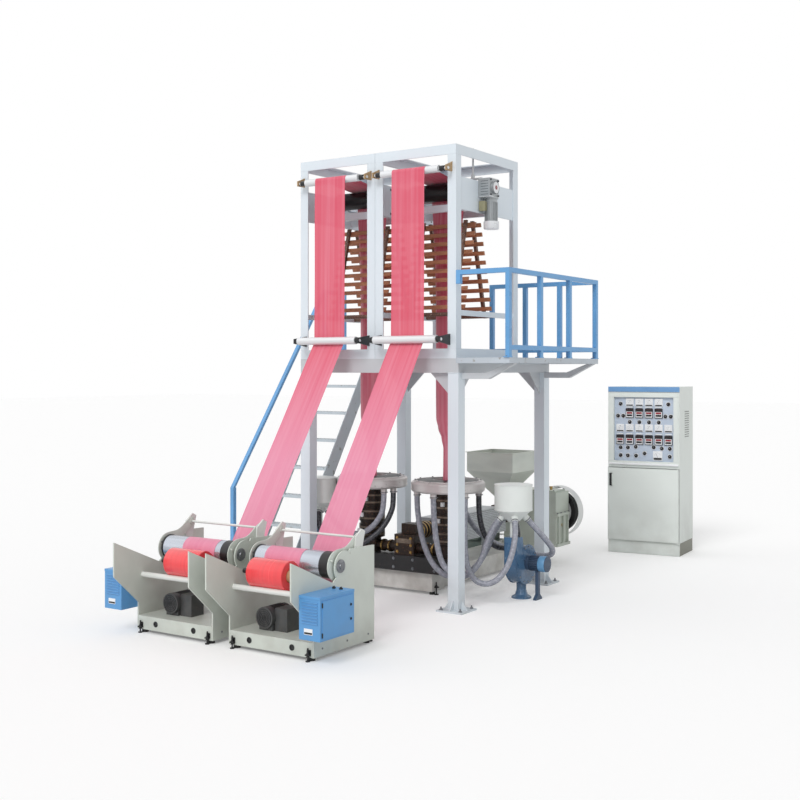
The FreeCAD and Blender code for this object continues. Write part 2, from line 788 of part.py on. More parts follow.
def haul_off_motor():
    """Worm gear and upright motor on the outer plate, in line with the front nip roller."""
    face = "(%s + bay_width / 2 - angle_thick)" % BAY_X["right"]
    y = NIP_Y["front"]
    case = box("worm_case", "worm_wide", "worm_deep", "worm_deep",
               (face + " + shaft_play", y + " - worm_deep / 2", "nip_high - worm_deep / 2"))
    cover = rod("worm_cover", "worm_face_size", "worm_face_thick", (face + " + worm_wide", y, "nip_high"), "x")
    drive = motor("worm_motor", "worm_motor_size", "worm_motor_long",
                  (face + " + worm_wide / 2 + worm_motor_gap", y + " + worm_motor_back",
                   "nip_high - worm_deep / 2 - worm_motor_long"), "z", True)
    flange = rod("worm_flange", "worm_motor_size + fin_high", "worm_face_thick",
                 (face + " + worm_wide / 2 + worm_motor_gap", y + " + worm_motor_back",
                  "nip_high - worm_deep / 2 - worm_face_thick"))
    sub_part("haul_off_motor", fuse("haul_off_motor", [case, cover, drive, flange]))


def crank():
    """The hand crank that sets the nip: a seat on the side plate, an upright screw and a crossbar above the frame."""
    plate = "(%s + bay_width / 2 - angle_thick)" % BAY_X["right"]
    x = "(%s - screw_x_in)" % plate
    y = NIP_Y["front"]
    seat_low = "(nip_high + nip_size / 2 + screw_seat_clear)"
    plate_top = "(nip_plate_low + nip_plate_rise)"
    seat = box("crank_seat", "screw_x_in + screw_seat_wide / 2", "screw_seat_wide", "screw_seat_thick",
               (x + " - screw_seat_wide / 2", y + " - screw_seat_wide / 2", seat_low))
    upright = box("crank_upright", "nip_plate_thick", "screw_seat_wide", "%s + screw_seat_thick - %s" % (seat_low, plate_top),
                  (plate + " - nip_plate_thick", y + " - screw_seat_wide / 2", plate_top))
    top = "(%s + crank_top)" % BAY_TOP
    screw = rod("crank_rod", "screw_size", "%s - %s" % (top, seat_low), (x, y, seat_low))
    nut = rod("crank_nut", "screw_size * 2", "screw_size * 2", (x, y, seat_low + " + screw_seat_thick"))
    bar = rod("crank_bar", "screw_size", "crank_long", (x, y + " - crank_long / 2", top + " - screw_size / 2"), "y")
    sub_part("crank_screw", fuse("crank_screw", [seat, upright, screw, nut, bar]))


def collapsing_frame(side):
    x = BAY_X[side]
    inner = "(bay_width / 2 - angle_thick)"
    rails = []
    slats = []
    bars = []
    for i, sx in enumerate((-1, 1)):
        low_x = "%s + %s - angle_thick" % (x, inner) if sx > 0 else "%s - %s" % (x, inner)
        bars.append(box("side_bar_%s_%d" % (side, i), "angle_thick", "bay_depth - 2 * angle_thick",
                        "side_bar_high", (low_x, FRONT + " + angle_thick", "side_bar_low")))
    for end, sy in (("front", -1), ("rear", 1)):
        low_y = "(%s + %d * fold_wide)" % (BAY_Y, sy)
        high_y = "(%s + %d * fold_narrow)" % (BAY_Y, sy)
        out = "%d * rail_side" % sy
        for j, sx in enumerate((-1, 1)):
            rail_x = "%s + %d * (slat_long / 2 - rail_inset) - rail_side / 2" % (x, sx)
            rails.append(pad("fold_rail_%s_%s_%d" % (side, end, j), "YZ_Plane",
                             [(low_y, "side_bar_low + 5"), (high_y, "slat_top + 40"),
                              (high_y + " + " + out, "slat_top + 40"), (low_y + " + " + out, "side_bar_low + 5")],
                             "rail_side", (rail_x, "0", "0")))
        rails.append(rod("fold_tube_%s_%s" % (side, end), "cross_tube", "2 * %s - 2 * angle_thick" % inner,
                         ("%s - %s + angle_thick" % (x, inner), "%s + %s / 2" % (low_y, out),
                          "side_bar_low + side_bar_high / 2"), "x"))
        slope = "((%s - %s) / (slat_top + 35 - side_bar_low))" % (high_y, low_y)
        for k in range(int(cell("slat_count"))):
            z = "(slat_low + (slat_top - slat_low) * %d / (slat_count - 1))" % k
            face = "(%s + (%s - side_bar_low - 5) * %s)" % (low_y, z, slope)
            lean = "%s * slat_high / 2" % slope
            inward = "%d * slat_thick" % -sy
            corners = [("%s - %s" % (face, lean), z + " - slat_high / 2"), ("%s + %s" % (face, lean), z + " + slat_high / 2"),
                       ("%s + %s + %s" % (face, lean, inward), z + " + slat_high / 2"),
                       ("%s - %s + %s" % (face, lean, inward), z + " - slat_high / 2")]
            slats.append(pad("slat_%s_%s_%d" % (side, end, k), "YZ_Plane", corners, "slat_long",
                             ("%s - slat_long / 2" % x, "0", "0")))
    shared("collapsing_rails", *[fuse("fold_frame_%s_%d" % (side, i), rails[3 * i:3 * i + 3]) for i in range(2)])
    shared("collapsing_slats", *slats)
    shared("haul_off_frames", *bars)


def idlers(side):
    """The top roller and the guide roller in front of one bay, with their brackets."""
    x = BAY_X[side]
    reach = "(bay_width / 2 - angle_side / 2)"
    top_y = "(%s - top_roller_out)" % FRONT
    roller("top_roller_" + side, x, top_y, "top_roller_high", "top_roller_size", "top_roller_face",
           "2 * (%s + 12)" % reach)
    guide_y = "(%s - film_thick / 2 - film_clear - guide_roller_size / 2)" % FILM_Y
    roller("guide_roller_" + side, x, guide_y, "guide_roller_high", "guide_roller_size", "guide_roller_face",
           "2 * (guide_roller_face / 2 + 42)")
    arms = []
    cones = []
    for i, sx in enumerate((-1, 1)):
        low_x = "%s + %d * %s - 6" % (x, sx, reach)
        arm = pad("top_arm_%s_%d" % (side, i), "YZ_Plane",
                  [(top_y + " - 25", "top_roller_high - 22"), (top_y + " - 25", "top_roller_high + 22"),
                   (top_y + " + 25", "top_roller_high + 40"), (FRONT, "top_roller_high + 60"),
                   (FRONT, "top_roller_high - 20")], "12", (low_x, "0", "0"))
        bore = rod("top_bore_%s_%d" % (side, i), "shaft_size + 2 * shaft_play", "12",
                   (low_x, top_y, "top_roller_high"), "x")
        arms.append(cut("top_bracket_%s_%d" % (side, i), arm, [bore]))
        low_x = "%s + %d * (guide_roller_face / 2 + 30) - 8" % (x, sx)
        arm = pad("guide_arm_%s_%d" % (side, i), "YZ_Plane",
                  [(guide_y + " - 25", "guide_roller_high - 20"), (guide_y + " - 25", "guide_roller_high + 20"),
                   (FRONT, "guide_roller_high + 45"), (FRONT, "guide_roller_high - 45")],
                  "16", (low_x, "0", "0"))
        bore = rod("guide_bore_%s_%d" % (side, i), "shaft_size + 2 * shaft_play", "16",
                   (low_x, guide_y, "guide_roller_high"), "x")
        cones.append(cut("guide_bracket_%s_%d" % (side, i), arm, [bore]))
    shared("top_brackets", *arms)
    shared("guide_brackets", *cones)


def film_web(side):
    """Flat film from the nip over the top roller and guide roller to the winder's drum."""
    front = -cell("tower_depth") / 2 - cell("column_side") / 2
    bay_y = front + cell("bay_depth") / 2
    left = -cell("tower_width") / 2 - cell("column_side") / 2
    x = left + BAY_SHIFT[side]
    gap = cell("film_clear") + cell("film_thick") / 2
    nip_radius = cell("nip_size") / 2
    nip_y = bay_y - nip_radius - cell("nip_gap") / 2
    top_y = front - cell("top_roller_out")
    film_y = top_y - cell("top_roller_size") / 2 - gap
    guide_y = film_y - gap - cell("guide_roller_size") / 2
    drum_radius = cell("drum_size") / 2 + gap
    drum = (-cell("drum_axis_y"), cell("drum_axis_high"))
    tip = math.radians(150)
    route = belt_route([
        (bay_y, cell("nip_high") - cell("nip_size") / 2 - cell("film_clear"), 0, 0),
        (nip_y, cell("nip_high"), nip_radius + gap, 1),
        (top_y, cell("top_roller_high"), cell("top_roller_size") / 2 + gap, 1),
        (guide_y, cell("guide_roller_high"), cell("guide_roller_size") / 2 + gap, -1),
        (-cell("idler_y"), cell("idler_high"), cell("idler_size") / 2 + gap, -1),
        (drum[0], drum[1], drum_radius, 1),
        (drum[0] + math.cos(tip) * drum_radius - 6, drum[1] + math.sin(tip) * drum_radius - 8, 0, 0)])
    start = route.Vertexes[0].Point
    half = cell("film_thick") / 2
    wide = cell("film_width")
    strip = Part.makePolygon([FreeCAD.Vector(-wide / 2, start.y - half, start.z),
                              FreeCAD.Vector(wide / 2, start.y - half, start.z),
                              FreeCAD.Vector(wide / 2, start.y + half, start.z),
                              FreeCAD.Vector(-wide / 2, start.y + half, start.z),
                              FreeCAD.Vector(-wide / 2, start.y - half, start.z)])
    feature = doc.addObject("Part::Feature", "film_web_" + side)
    feature.Shape = route.makePipeShell([strip], True, False)
    feature.Placement = FreeCAD.Placement(FreeCAD.Vector(x, 0, 0), FreeCAD.Rotation())
    shared("film_webs", feature)


def bubble(side):
    """The blown tube: a narrow neck, a full bubble and the flattened top between the slats."""
    x = BAY_X[side]
    neck = turned("bubble_round_" + side,
                  [("0", "die_top"), ("neck_size / 2", "die_top"), ("neck_size / 2 - 8", "neck_high - 120"),
                   ("bubble_size / 2", "neck_high + 120"), ("bubble_size / 2", "slat_low"), ("0", "slat_low")],
                  (x, BAY_Y, "0"))
    body = doc.addObject("Part::Feature", "bubble_flat_" + side)
    left = -cell("tower_width") / 2 - cell("column_side") / 2
    front = -cell("tower_depth") / 2 - cell("column_side") / 2
    cx = left + BAY_SHIFT[side]
    cy = front + cell("bay_depth") / 2
    low = cell("slat_low")
    high = cell("nip_high") - cell("nip_size") / 2 - cell("film_clear")
    count = 40

    def ring(wide, deep, z):
        corners = [FreeCAD.Vector(cx + wide / 2 * math.cos(2 * math.pi * i / count),
                                  cy + deep / 2 * math.sin(2 * math.pi * i / count), z) for i in range(count)]
        return Part.makePolygon(corners + [corners[0]])
    sections = [ring(cell("bubble_size"), cell("bubble_size"), low),
                ring(cell("film_width"), 4 * cell("film_thick"), high)]
    body.Shape = Part.makeLoft(sections, True, True)
    shared("film_bubbles", fuse("film_bubble_" + side, [neck, body]))


def die(side):
    x = BAY_X[side]
    pitch = "((air_ring_low - die_shoulder - die_low - base_neck) / band_count)"
    bands = []
    for i in range(int(cell("band_count"))):
        low = "die_low + base_neck + %s * %d" % (pitch, i)
        for reach, share in (("die_size / 2", 0), ("die_size / 2", 0.8), ("die_size / 2 - band_deep", 0.82),
                             ("die_size / 2 - band_deep", 0.99)):
            bands.append((reach, "%s + %s * %s" % (low, pitch, share)))
    head = turned("die_head_" + side,
                  [("0", "die_low"), ("die_size * 0.36", "die_low"), ("die_size * 0.36", "die_low + base_neck - 10")]
                  + bands + [
                   ("air_ring_bore / 2 + die_shoulder", "air_ring_low - die_shoulder"),
                   ("air_ring_bore / 2 + die_shoulder", "air_ring_low"), ("die_size / 2", "air_ring_low"),
                   ("die_size / 2", "air_ring_low + 20"),
                   ("lip_size / 2 + 15", "air_ring_low + 40"), ("lip_size / 2 + 15", "die_top - 15"),
                   ("lip_size / 2", "die_top"), ("0", "die_top")],
                  (x, BAY_Y, "0"))
    shared("die_heads", head)
    ring = turned("air_ring_body_" + side,
                  [("air_ring_bore / 2", "air_ring_low"), ("air_ring_size / 2 - 12", "air_ring_low"),
                   ("air_ring_size / 2", "air_ring_low + 12"),
                   ("air_ring_size / 2", "air_ring_low + air_ring_high - 12"),
                   ("air_ring_size / 2 - 12", "air_ring_low + air_ring_high"),
                   ("air_ring_bore / 2 + 60", "air_ring_low + air_ring_high"),
                   ("air_ring_bore / 2", "air_ring_low + air_ring_high + 14")],
                  (x, BAY_Y, "0"))
    ports = []
    for i, angle in enumerate(PORT_ANGLES[side]):
        reach = "(air_ring_size / 2 - hose_size)"
        ports.append(rod("air_port_%s_%d" % (side, i), "hose_size + 6", "port_long",
                         ("%s + %s * cos(%d deg)" % (x, reach, angle), "%s + %s * sin(%d deg)" % (BAY_Y, reach, angle),
                          "air_ring_low - port_long")))
    shared("air_rings", fuse("air_ring_" + side, [ring] + ports))


def manifold():
    """The melt pipe that joins both dies to the end of the barrel."""
    z = "(die_low + 60)"
    left = BAY_X["left"]
    right = BAY_X["right"]
    pipe = rod("manifold_pipe", "90", "%s - %s - die_size * 0.72" % (right, left),
               ("%s + die_size * 0.36" % left, BAY_Y, z), "x")
    block = box("manifold_block", "200", "170", "180",
                ("(%s + %s) / 2 - 100" % (left, right), BAY_Y + " - 85", "die_low"))
    middle = "((%s + %s) / 2)" % (left, right)
    barrel = rod("barrel", "barrel_size", "gearbox_front - %s - 85" % BAY_Y,
                 (middle, BAY_Y + " + 85", "screw_high"), "y")
    elbow = box("manifold_elbow", "150", "120", "screw_high + barrel_size / 2 + 10 - %s" % z,
                (middle + " - 75", BAY_Y + " - 10", z))
    feed = box("feed_block", "feed_block", "feed_block", "feed_block",
               (middle + " - feed_block / 2", "hopper_y - feed_block / 2", "screw_high - feed_block / 2"))
    clamps = []
    run = "(%s - %s - die_size * 0.72)" % (right, left)
    for i, share in enumerate((0.08, 0.2, 0.8, 0.92)):
        clamps.append(rod("manifold_clamp_%d" % i, "90 + 2 * clamp_out", "clamp_wide",
                          ("%s + die_size * 0.36 + %s * %s - clamp_wide / 2" % (left, run, share), BAY_Y, z), "x"))
    for i in range(2):
        clamps.append(rod("barrel_clamp_%d" % i, "barrel_size + 2 * clamp_out", "clamp_wide * 3",
                          (middle, "%s + 120 + %d * clamp_wide * 4" % (BAY_Y, i), "screw_high"), "y"))
    sub_part("melt_manifold", fuse("melt_manifold", [pipe, block, elbow, barrel, feed] + clamps))


def extruder():
    spine_low = "(-cross_front + cross_deep)"
    cross = box("base_cross", "cross_left + cross_right", "cross_deep", "frame_high",
                ("-cross_left", "-cross_front - 100", "frame_low"))
    spine = box("base_spine", "spine_width", "spine_back - %s + 100" % spine_low, "frame_high",
                ("-spine_width / 2", spine_low + " - 100", "frame_low"))
    sub_part("extruder_base", fuse("extruder_base", [cross, spine]))
    feet = []
    for i, (x, y) in enumerate((("-cross_left + 40", "-cross_front - 50"), ("cross_right - 30", "-cross_front - 50"),
                                ("-spine_width / 2 + 40", "spine_back - 60"), ("spine_width / 2 - 40", "spine_back - 60"))):
        feet.append(rod("extruder_foot_%d" % i, "50", "frame_low", (x, y, "0")))
    shared("levelling_feet", *feet)
    mid = "((%s + %s) / 2)" % (BAY_X["left"], BAY_X["right"])
    bed = box("die_bed", "%s - %s + 180" % (BAY_X["right"], BAY_X["left"]), "cross_deep",
              "die_low - frame_low - frame_high", (BAY_X["left"] + " - 90", BAY_Y + " - cross_deep / 2",
                                                   "frame_low + frame_high"))
    sub_part("die_bed", bed)
    guard = pad("guard", "XZ_Plane",
                [("-guard_width / 2", "0"), ("guard_width / 2", "0"), ("guard_width / 2", "guard_high - guard_shoulder"),
                 ("guard_width / 2 - guard_shoulder", "guard_high"), ("-guard_width / 2 + guard_shoulder", "guard_high"),
                 ("-guard_width / 2", "guard_high - guard_shoulder")],
                "guard_long", (mid, "guard_front", "screw_high - guard_high * 0.6"))
    bore = rod("guard_bore", "barrel_size + 1", "guard_long", (mid, "guard_front", "screw_high"), "y")
    legs = [box("guard_leg_%d" % i, "60", "60", "screw_high - guard_high * 0.6 - frame_low - frame_high",
                (mid + " - 30", y, "frame_low + frame_high")) for i, y in enumerate(("guard_front + 60",
                                                                                     "guard_front + guard_long - 120"))]
    sub_part("barrel_guard", fuse("barrel_guard", [cut("guard_shell", guard, [bore])] + legs))


def funnel(name, mid, shrink):
    """The hopper's square top, tapered middle and throat, drawn in on every side by the same amount."""
    top = "(hopper_side - 2 * %s)" % shrink
    low = "(throat_side - 2 * %s)" % shrink
    z_mid = "(hopper_top - hopper_straight)"
    z_low = "(hopper_top - hopper_straight - hopper_cone)"
    square = box(name + "_square", top, top, "hopper_straight",
                 ("%s - %s / 2" % (mid, top), "hopper_y - %s / 2" % top, z_mid))
    body = doc.addObject("Part::Wedge", name + "_taper")
    spread = "((%s - %s) / 2)" % (top, low)
    bind(body, Xmin="0", Xmax=low, Zmin="0", Zmax=low, Ymin="0", Ymax="hopper_cone", X2min="-" + spread,
         X2max="%s + %s" % (low, spread), Z2min="-" + spread, Z2max="%s + %s" % (low, spread))
    body.Placement = FreeCAD.Placement(FreeCAD.Vector(0, 0, 0), FreeCAD.Rotation(X_AXIS, 90))
    for letter, text in zip("xyz", ("%s - %s / 2" % (mid, low), "hopper_y + %s / 2" % low, z_low)):
        body.setExpression("Placement.Base." + letter, formula(text))
    throat = box(name + "_throat", low, low, "%s - screw_high - feed_block / 2" % z_low,
                 ("%s - %s / 2" % (mid, low), "hopper_y - %s / 2" % low, "screw_high + feed_block / 2"))
    return fuse(name, [square, body, throat])


def hopper():
    """An open sheet funnel with a turned-out lip, seated on the feed block."""
    mid = "((%s + %s) / 2)" % (BAY_X["left"], BAY_X["right"])
    wide = "(hopper_side + 2 * hopper_lip)"
    lip = box("hopper_rim", wide, wide, "hopper_lip_thick",
              ("%s - %s / 2" % (mid, wide), "hopper_y - %s / 2" % wide, "hopper_top - hopper_lip_thick"))
    outer = fuse("hopper_outer", [funnel("hopper_skin", mid, "0"), lip])
    sub_part("hopper", cut("hopper_shell", outer, [funnel("hopper_room", mid, "hopper_sheet")]))


def grooved(name, size, x, z):
    """A belt wheel with three grooves, lying along Y."""
    disc = rod(name + "_disc", size, "pulley_wide", (x, "pulley_y - pulley_wide / 2", z), "y")
    grooves = []
    for i in (-1, 0, 1):
        low_y = "pulley_y + %d * groove_pitch - groove_wide / 2" % i
        outer = rod("%s_outer_%d" % (name, i + 1), size + " + 2", "groove_wide", (x, low_y, z), "y")
        inner = rod("%s_inner_%d" % (name, i + 1), size + " - 2 * groove_deep", "groove_wide", (x, low_y, z), "y")
        grooves.append(cut("%s_groove_%d" % (name, i + 1), outer, [inner]))
    return cut(name, disc, grooves)


def gearbox():
    """The ribbed gear case with its split flange, cover and barrel boss."""
    low = "(frame_low + frame_high)"
    wide = "(gearbox_left + gearbox_right)"
    mid = "((%s + %s) / 2)" % (BAY_X["left"], BAY_X["right"])
    pieces = [box("gear_case", wide + " - 2 * gear_flange_out", "gearbox_deep", "gearbox_top - gear_cover_thick - %s" % low,
                  ("-gearbox_left + gear_flange_out", "gearbox_front", low))]
    for name, rise in (("foot", "0"), ("split", "gear_split")):
        pieces.append(box("gear_flange_" + name, wide, "gearbox_deep", "gear_flange_thick",
                          ("-gearbox_left", "gearbox_front", "%s + %s" % (low, rise))))
    pieces.append(box("gear_cover", wide + " - 2 * gear_cover_in", "gearbox_deep - gear_cover_in", "gear_cover_thick",
                      ("-gearbox_left + gear_cover_in", "gearbox_front + gear_cover_in / 2",
                       "gearbox_top - gear_cover_thick")))
    for i, share in enumerate((0.15, 0.5, 0.85)):
        pieces.append(box("gear_rib_%d" % i, wide, "gear_rib_thick", "gear_split",
                          ("-gearbox_left", "gearbox_front + gearbox_deep * %s - gear_rib_thick / 2" % share, low)))
    boss = rod("gear_boss", "gear_boss_size", "gear_boss_out", (mid, "gearbox_front - gear_boss_out", "screw_high"), "y")
    way = rod("gear_boss_bore", "barrel_size + 1", "gear_boss_out", (mid, "gearbox_front - gear_boss_out", "screw_high"), "y")
    pieces.append(cut("gear_boss_ring", boss, [way]))
    sub_part("gearbox", fuse("gearbox", pieces))


def drive_wheel():
    """The large belt wheel: a grooved rim, a thin web with round holes and a hub on its shaft."""
    shaft = rod("pulley_shaft", "50", "pulley_y + pulley_wide / 2 - gearbox_front - gearbox_deep",
                ("pulley_x", "gearbox_front + gearbox_deep + 0.3", "pulley_high"), "y")
    deep = "((pulley_wide - web_thick) / 2)"
    tools = []
    for name, y in (("front", "pulley_y - pulley_wide / 2"), ("back", "pulley_y + pulley_wide / 2 - %s" % deep)):
        dish = rod("web_dish_" + name, "pulley_size - 2 * rim_thick", deep, ("pulley_x", y, "pulley_high"), "y")
        hub = rod("web_hub_" + name, "hub_size", deep, ("pulley_x", y, "pulley_high"), "y")
        tools.append(cut("web_recess_" + name, dish, [hub]))
    ring = "(pulley_size - 2 * rim_thick + hub_size) / 4"
    for i in range(int(cell("web_holes"))):
        turn = "(%d * 360 / web_holes * 1 deg)" % i
        tools.append(rod("web_hole_%d" % i, "web_hole_size", "pulley_wide",
                         ("pulley_x + %s * cos(%s)" % (ring, turn), "pulley_y - pulley_wide / 2",
                          "pulley_high + %s * sin(%s)" % (ring, turn)), "y"))
    wheel = cut("drive_wheel_web", grooved("drive_wheel", "pulley_size", "pulley_x", "pulley_high"), tools)
    sub_part("drive_pulley", fuse("drive_pulley", [wheel, shaft]))


def main_motor():
    """The main motor on its plinth beside the extruder frame, with its small belt wheel."""
    start = "(gearbox_front - 130)"
    body = motor("main_motor_body", "motor_size", "motor_long", ("-motor_x", start, "motor_high"), "y", True)
    foot = box("main_motor_foot", "motor_size", "300", "motor_high - frame_low - frame_high",
               ("-motor_x - motor_size / 2", "gearbox_front - 80", "frame_low + frame_high"))
    plinth = box("main_motor_plinth", "motor_size / 2 + 20 + motor_x - spine_width / 2", "340", "frame_high + frame_low",
                 ("-motor_x - motor_size / 2 - 20", "gearbox_front - 100", "0"))
    wires = box("main_motor_terminals", "terminal_wide", "terminal_long", "motor_size / 2 + terminal_out",
                ("-motor_x - terminal_wide / 2", start + " + motor_long * 0.4", "motor_high"))
    end = rod("main_motor_shaft", "42", "pulley_y + pulley_wide / 2 - %s - motor_long" % start,
              ("-motor_x", start + " + motor_long", "motor_high"), "y")
    small = grooved("motor_wheel", "motor_pulley_size", "-motor_x", "motor_high")
    sub_part("main_motor", fuse("main_motor", [body, foot, plinth, wires, end, small]))


def loop_wire(big, small, y):
    """The outline round two circles, each given as x, z and radius, at one depth."""
    reach = math.hypot(small[0] - big[0], small[1] - big[1])
    along = math.atan2(small[1] - big[1], small[0] - big[0])
    lean = math.acos((big[2] - small[2]) / reach)

    def at(circle, angle):
        return FreeCAD.Vector(circle[0] + circle[2] * math.cos(angle), y, circle[1] + circle[2] * math.sin(angle))
    upper = along - lean
    lower = along + lean
    return Part.Wire([
        Part.Arc(at(big, upper), at(big, along + math.pi), at(big, lower)).toShape(),
        Part.LineSegment(at(big, lower), at(small, lower)).toShape(),
        Part.Arc(at(small, lower), at(small, along), at(small, upper)).toShape(),
        Part.LineSegment(at(small, upper), at(big, upper)).toShape()])


def loop_band(name, inside, thick, y, wide):
    """A flat band round both belt wheels, a distance outside the bottoms of their grooves."""
    wires = []
    for out in (inside, inside + thick):
        big = (cell("pulley_x"), cell("pulley_high"), cell("pulley_size") / 2 - cell("groove_deep") + out)
        small = (-cell("motor_x"), cell("motor_high"), cell("motor_pulley_size") / 2 - cell("groove_deep") + out)
        wires.append(loop_wire(big, small, y))
    band = Part.Face(wires[1]).cut(Part.Face(wires[0])).extrude(FreeCAD.Vector(0, wide, 0))
    feature = doc.addObject("Part::Feature", name)
    feature.Shape = band
    return feature


def belt_drive():
    """Three belts from the motor's wheel to the gearbox's wheel, inside a guard band."""
    start = cell("pulley_y") - cell("belt_wide") / 2
    belts = [loop_band("belt_%d" % i, cell("belt_play"), cell("belt_thick"), start + i * cell("groove_pitch"),
                       cell("belt_wide")) for i in (-1, 0, 1)]
    sub_part("drive_belts", group("drive_belts", belts))
    band = loop_band("guard_loop", cell("groove_deep") + cell("guard_gap"), cell("guard_band_thick"),
                     cell("pulley_y") - cell("guard_wide") / 2, cell("guard_wide"))
    rise = "(pulley_size / 2 + guard_gap)"
    strap = box("guard_strap", "40", "pulley_y + guard_wide / 2 - gearbox_front - gearbox_deep", "20",
                ("pulley_x - 20", "gearbox_front + gearbox_deep", "pulley_high + %s - 19" % rise))
    foot = box("guard_foot", "60", "60", "60", ("-30", "pulley_y - 30", "frame_low + frame_high"))
    sub_part("belt_guard", fuse("belt_guard", [band, strap, foot]))


def volute(name, x, y, start, wide, out):
    """One layer of the fan housing: a spiral about the fan's axis that opens into the upright outlet."""
    big = cell("scroll_size") / 2
    small = big * (1 - cell("scroll_shrink"))
    steps = 20
    tongue = 120
    sweep = tongue + 180
    spiral = []
    for i in range(steps + 1):
        turn = math.radians(tongue - sweep * i / steps)
        reach = small + (big - small) * i / steps + out
        spiral.append(FreeCAD.Vector(0, reach * math.cos(turn), reach * math.sin(turn)))
    curve = Part.BSplineCurve()
    curve.interpolate(spiral)
    top = cell("outlet_rise")
    corners = [spiral[-1], FreeCAD.Vector(0, -big - out, top), FreeCAD.Vector(0, -big + cell("outlet_deep") + out, top),
               spiral[0]]
    sides = [Part.LineSegment(a, b).toShape() for a, b in zip(corners, corners[1:])]
    feature = doc.addObject("Part::Feature", name)
    feature.Shape = Part.Face(Part.Wire([curve.toShape()] + sides)).extrude(FreeCAD.Vector(wide, 0, 0))
    return place(feature, ("%s + %s" % (x, start), y, "blower_high"))


def blower(side):
    """A fan in its spiral housing on a flared foot, its motor, and the air drum above its outlet."""
    x, y = BLOWER[side]
    half = cell("scroll_wide") / 2
    lip = cell("scroll_sheet")
    layers = [volute("scroll_" + side, x, y, -half + lip, 2 * half - 2 * lip, 0)]
    for i, start in enumerate((-half, half - lip)):
        layers.append(volute("scroll_plate_%s_%d" % (side, i), x, y, start, lip, cell("scroll_lip")))
    s = SIGN[side]
    inlet_x = "%s - %s * (scroll_wide / 2 + inlet_out / 2) - inlet_out / 2" % (x, s)
    bell = rod("inlet_" + side, "inlet_size", "inlet_out", (inlet_x, y, "blower_high"), "x")
    foot = turned("blower_foot_" + side,
                  [("0", "0"), ("foot_flare", "0"), ("foot_flare", "foot_flange"), ("foot_flare * 0.65", "foot_flange * 2.5"),
                   ("foot_neck", "foot_flange * 6"), ("foot_neck", "blower_high - scroll_size * 0.35"),
                   ("0", "blower_high - scroll_size * 0.35")], (x, y, "0"))
    prop_x = "%s + %s * (scroll_wide / 2 + fan_motor_long / 2) - prop_thick / 2" % (x, s)
    prop_top = "blower_high - fan_motor_size / 2 + fin_high * 2"
    prop = pad("blower_prop_" + side, "YZ_Plane",
               [("-prop_wide / 2", "0"), ("prop_wide / 2", "0"), ("prop_wide / 2", "foot_flange"),
                ("prop_wide * 0.15", "foot_flange * 4"), ("prop_wide * 0.15", prop_top),
                ("-prop_wide * 0.15", prop_top), ("-prop_wide * 0.15", "foot_flange * 4"),
                ("-prop_wide / 2", "foot_flange")], "prop_thick", (prop_x, y, "0"))
    shared("blowers", fuse("blower_" + side, layers + [bell, foot]))
    start = "(%s + scroll_wide / 2)" % x if side == "right" else "(%s - scroll_wide / 2 - fan_motor_long)" % x
    drive = motor("blower_motor_body_" + side, "fan_motor_size", "fan_motor_long", (start, y, "blower_high"), "x",
                  side == "left")
    shared("blower_motors", fuse("blower_motor_" + side, [drive, prop]))
    cy = "(%s - scroll_size / 2 + outlet_deep / 2)" % y
    drum = rod("air_drum_body_" + side, "air_drum_size", "air_drum_high", (x, cy, "air_drum_low"))
    taper = cone("air_drum_cone_" + side, "air_pipe_size + 20", "air_drum_size - 20", "air_cone_high",
                 (x, cy, "air_drum_low - air_cone_high"))
    pipe = rod("air_drum_pipe_" + side, "air_pipe_size", "air_drum_low - air_cone_high - blower_high - outlet_rise",
               (x, cy, "blower_high + outlet_rise"))
    ports = []
    for i, angle in enumerate(DRUM_ANGLES[side]):
        port = bind(doc.addObject("Part::Cylinder", "drum_port_%s_%d" % (side, i)), Radius="hose_size / 2 + 3",
                    Height="drum_port_long + port_sunk")
        turn = FreeCAD.Rotation(Z_AXIS, angle) * FreeCAD.Rotation(Y_AXIS, 180 - cell("port_tilt"))
        port.Placement = FreeCAD.Placement(FreeCAD.Vector(0, 0, 0), turn)
        reach = "(port_foot - port_sunk * sin(port_tilt * 1 deg))"
        rise = "air_drum_low - air_cone_high + port_foot_rise + port_sunk * cos(port_tilt * 1 deg)"
        for letter, text in zip("xyz", ("%s + %s * cos(%d deg)" % (x, reach, angle),
                                        "%s + %s * sin(%d deg)" % (cy, reach, angle), rise)):
            port.setExpression("Placement.Base." + letter, formula(text))
        ports.append(port)
    shared("air_distributors", fuse("air_distributor_" + side, [drum, taper, pipe] + ports))


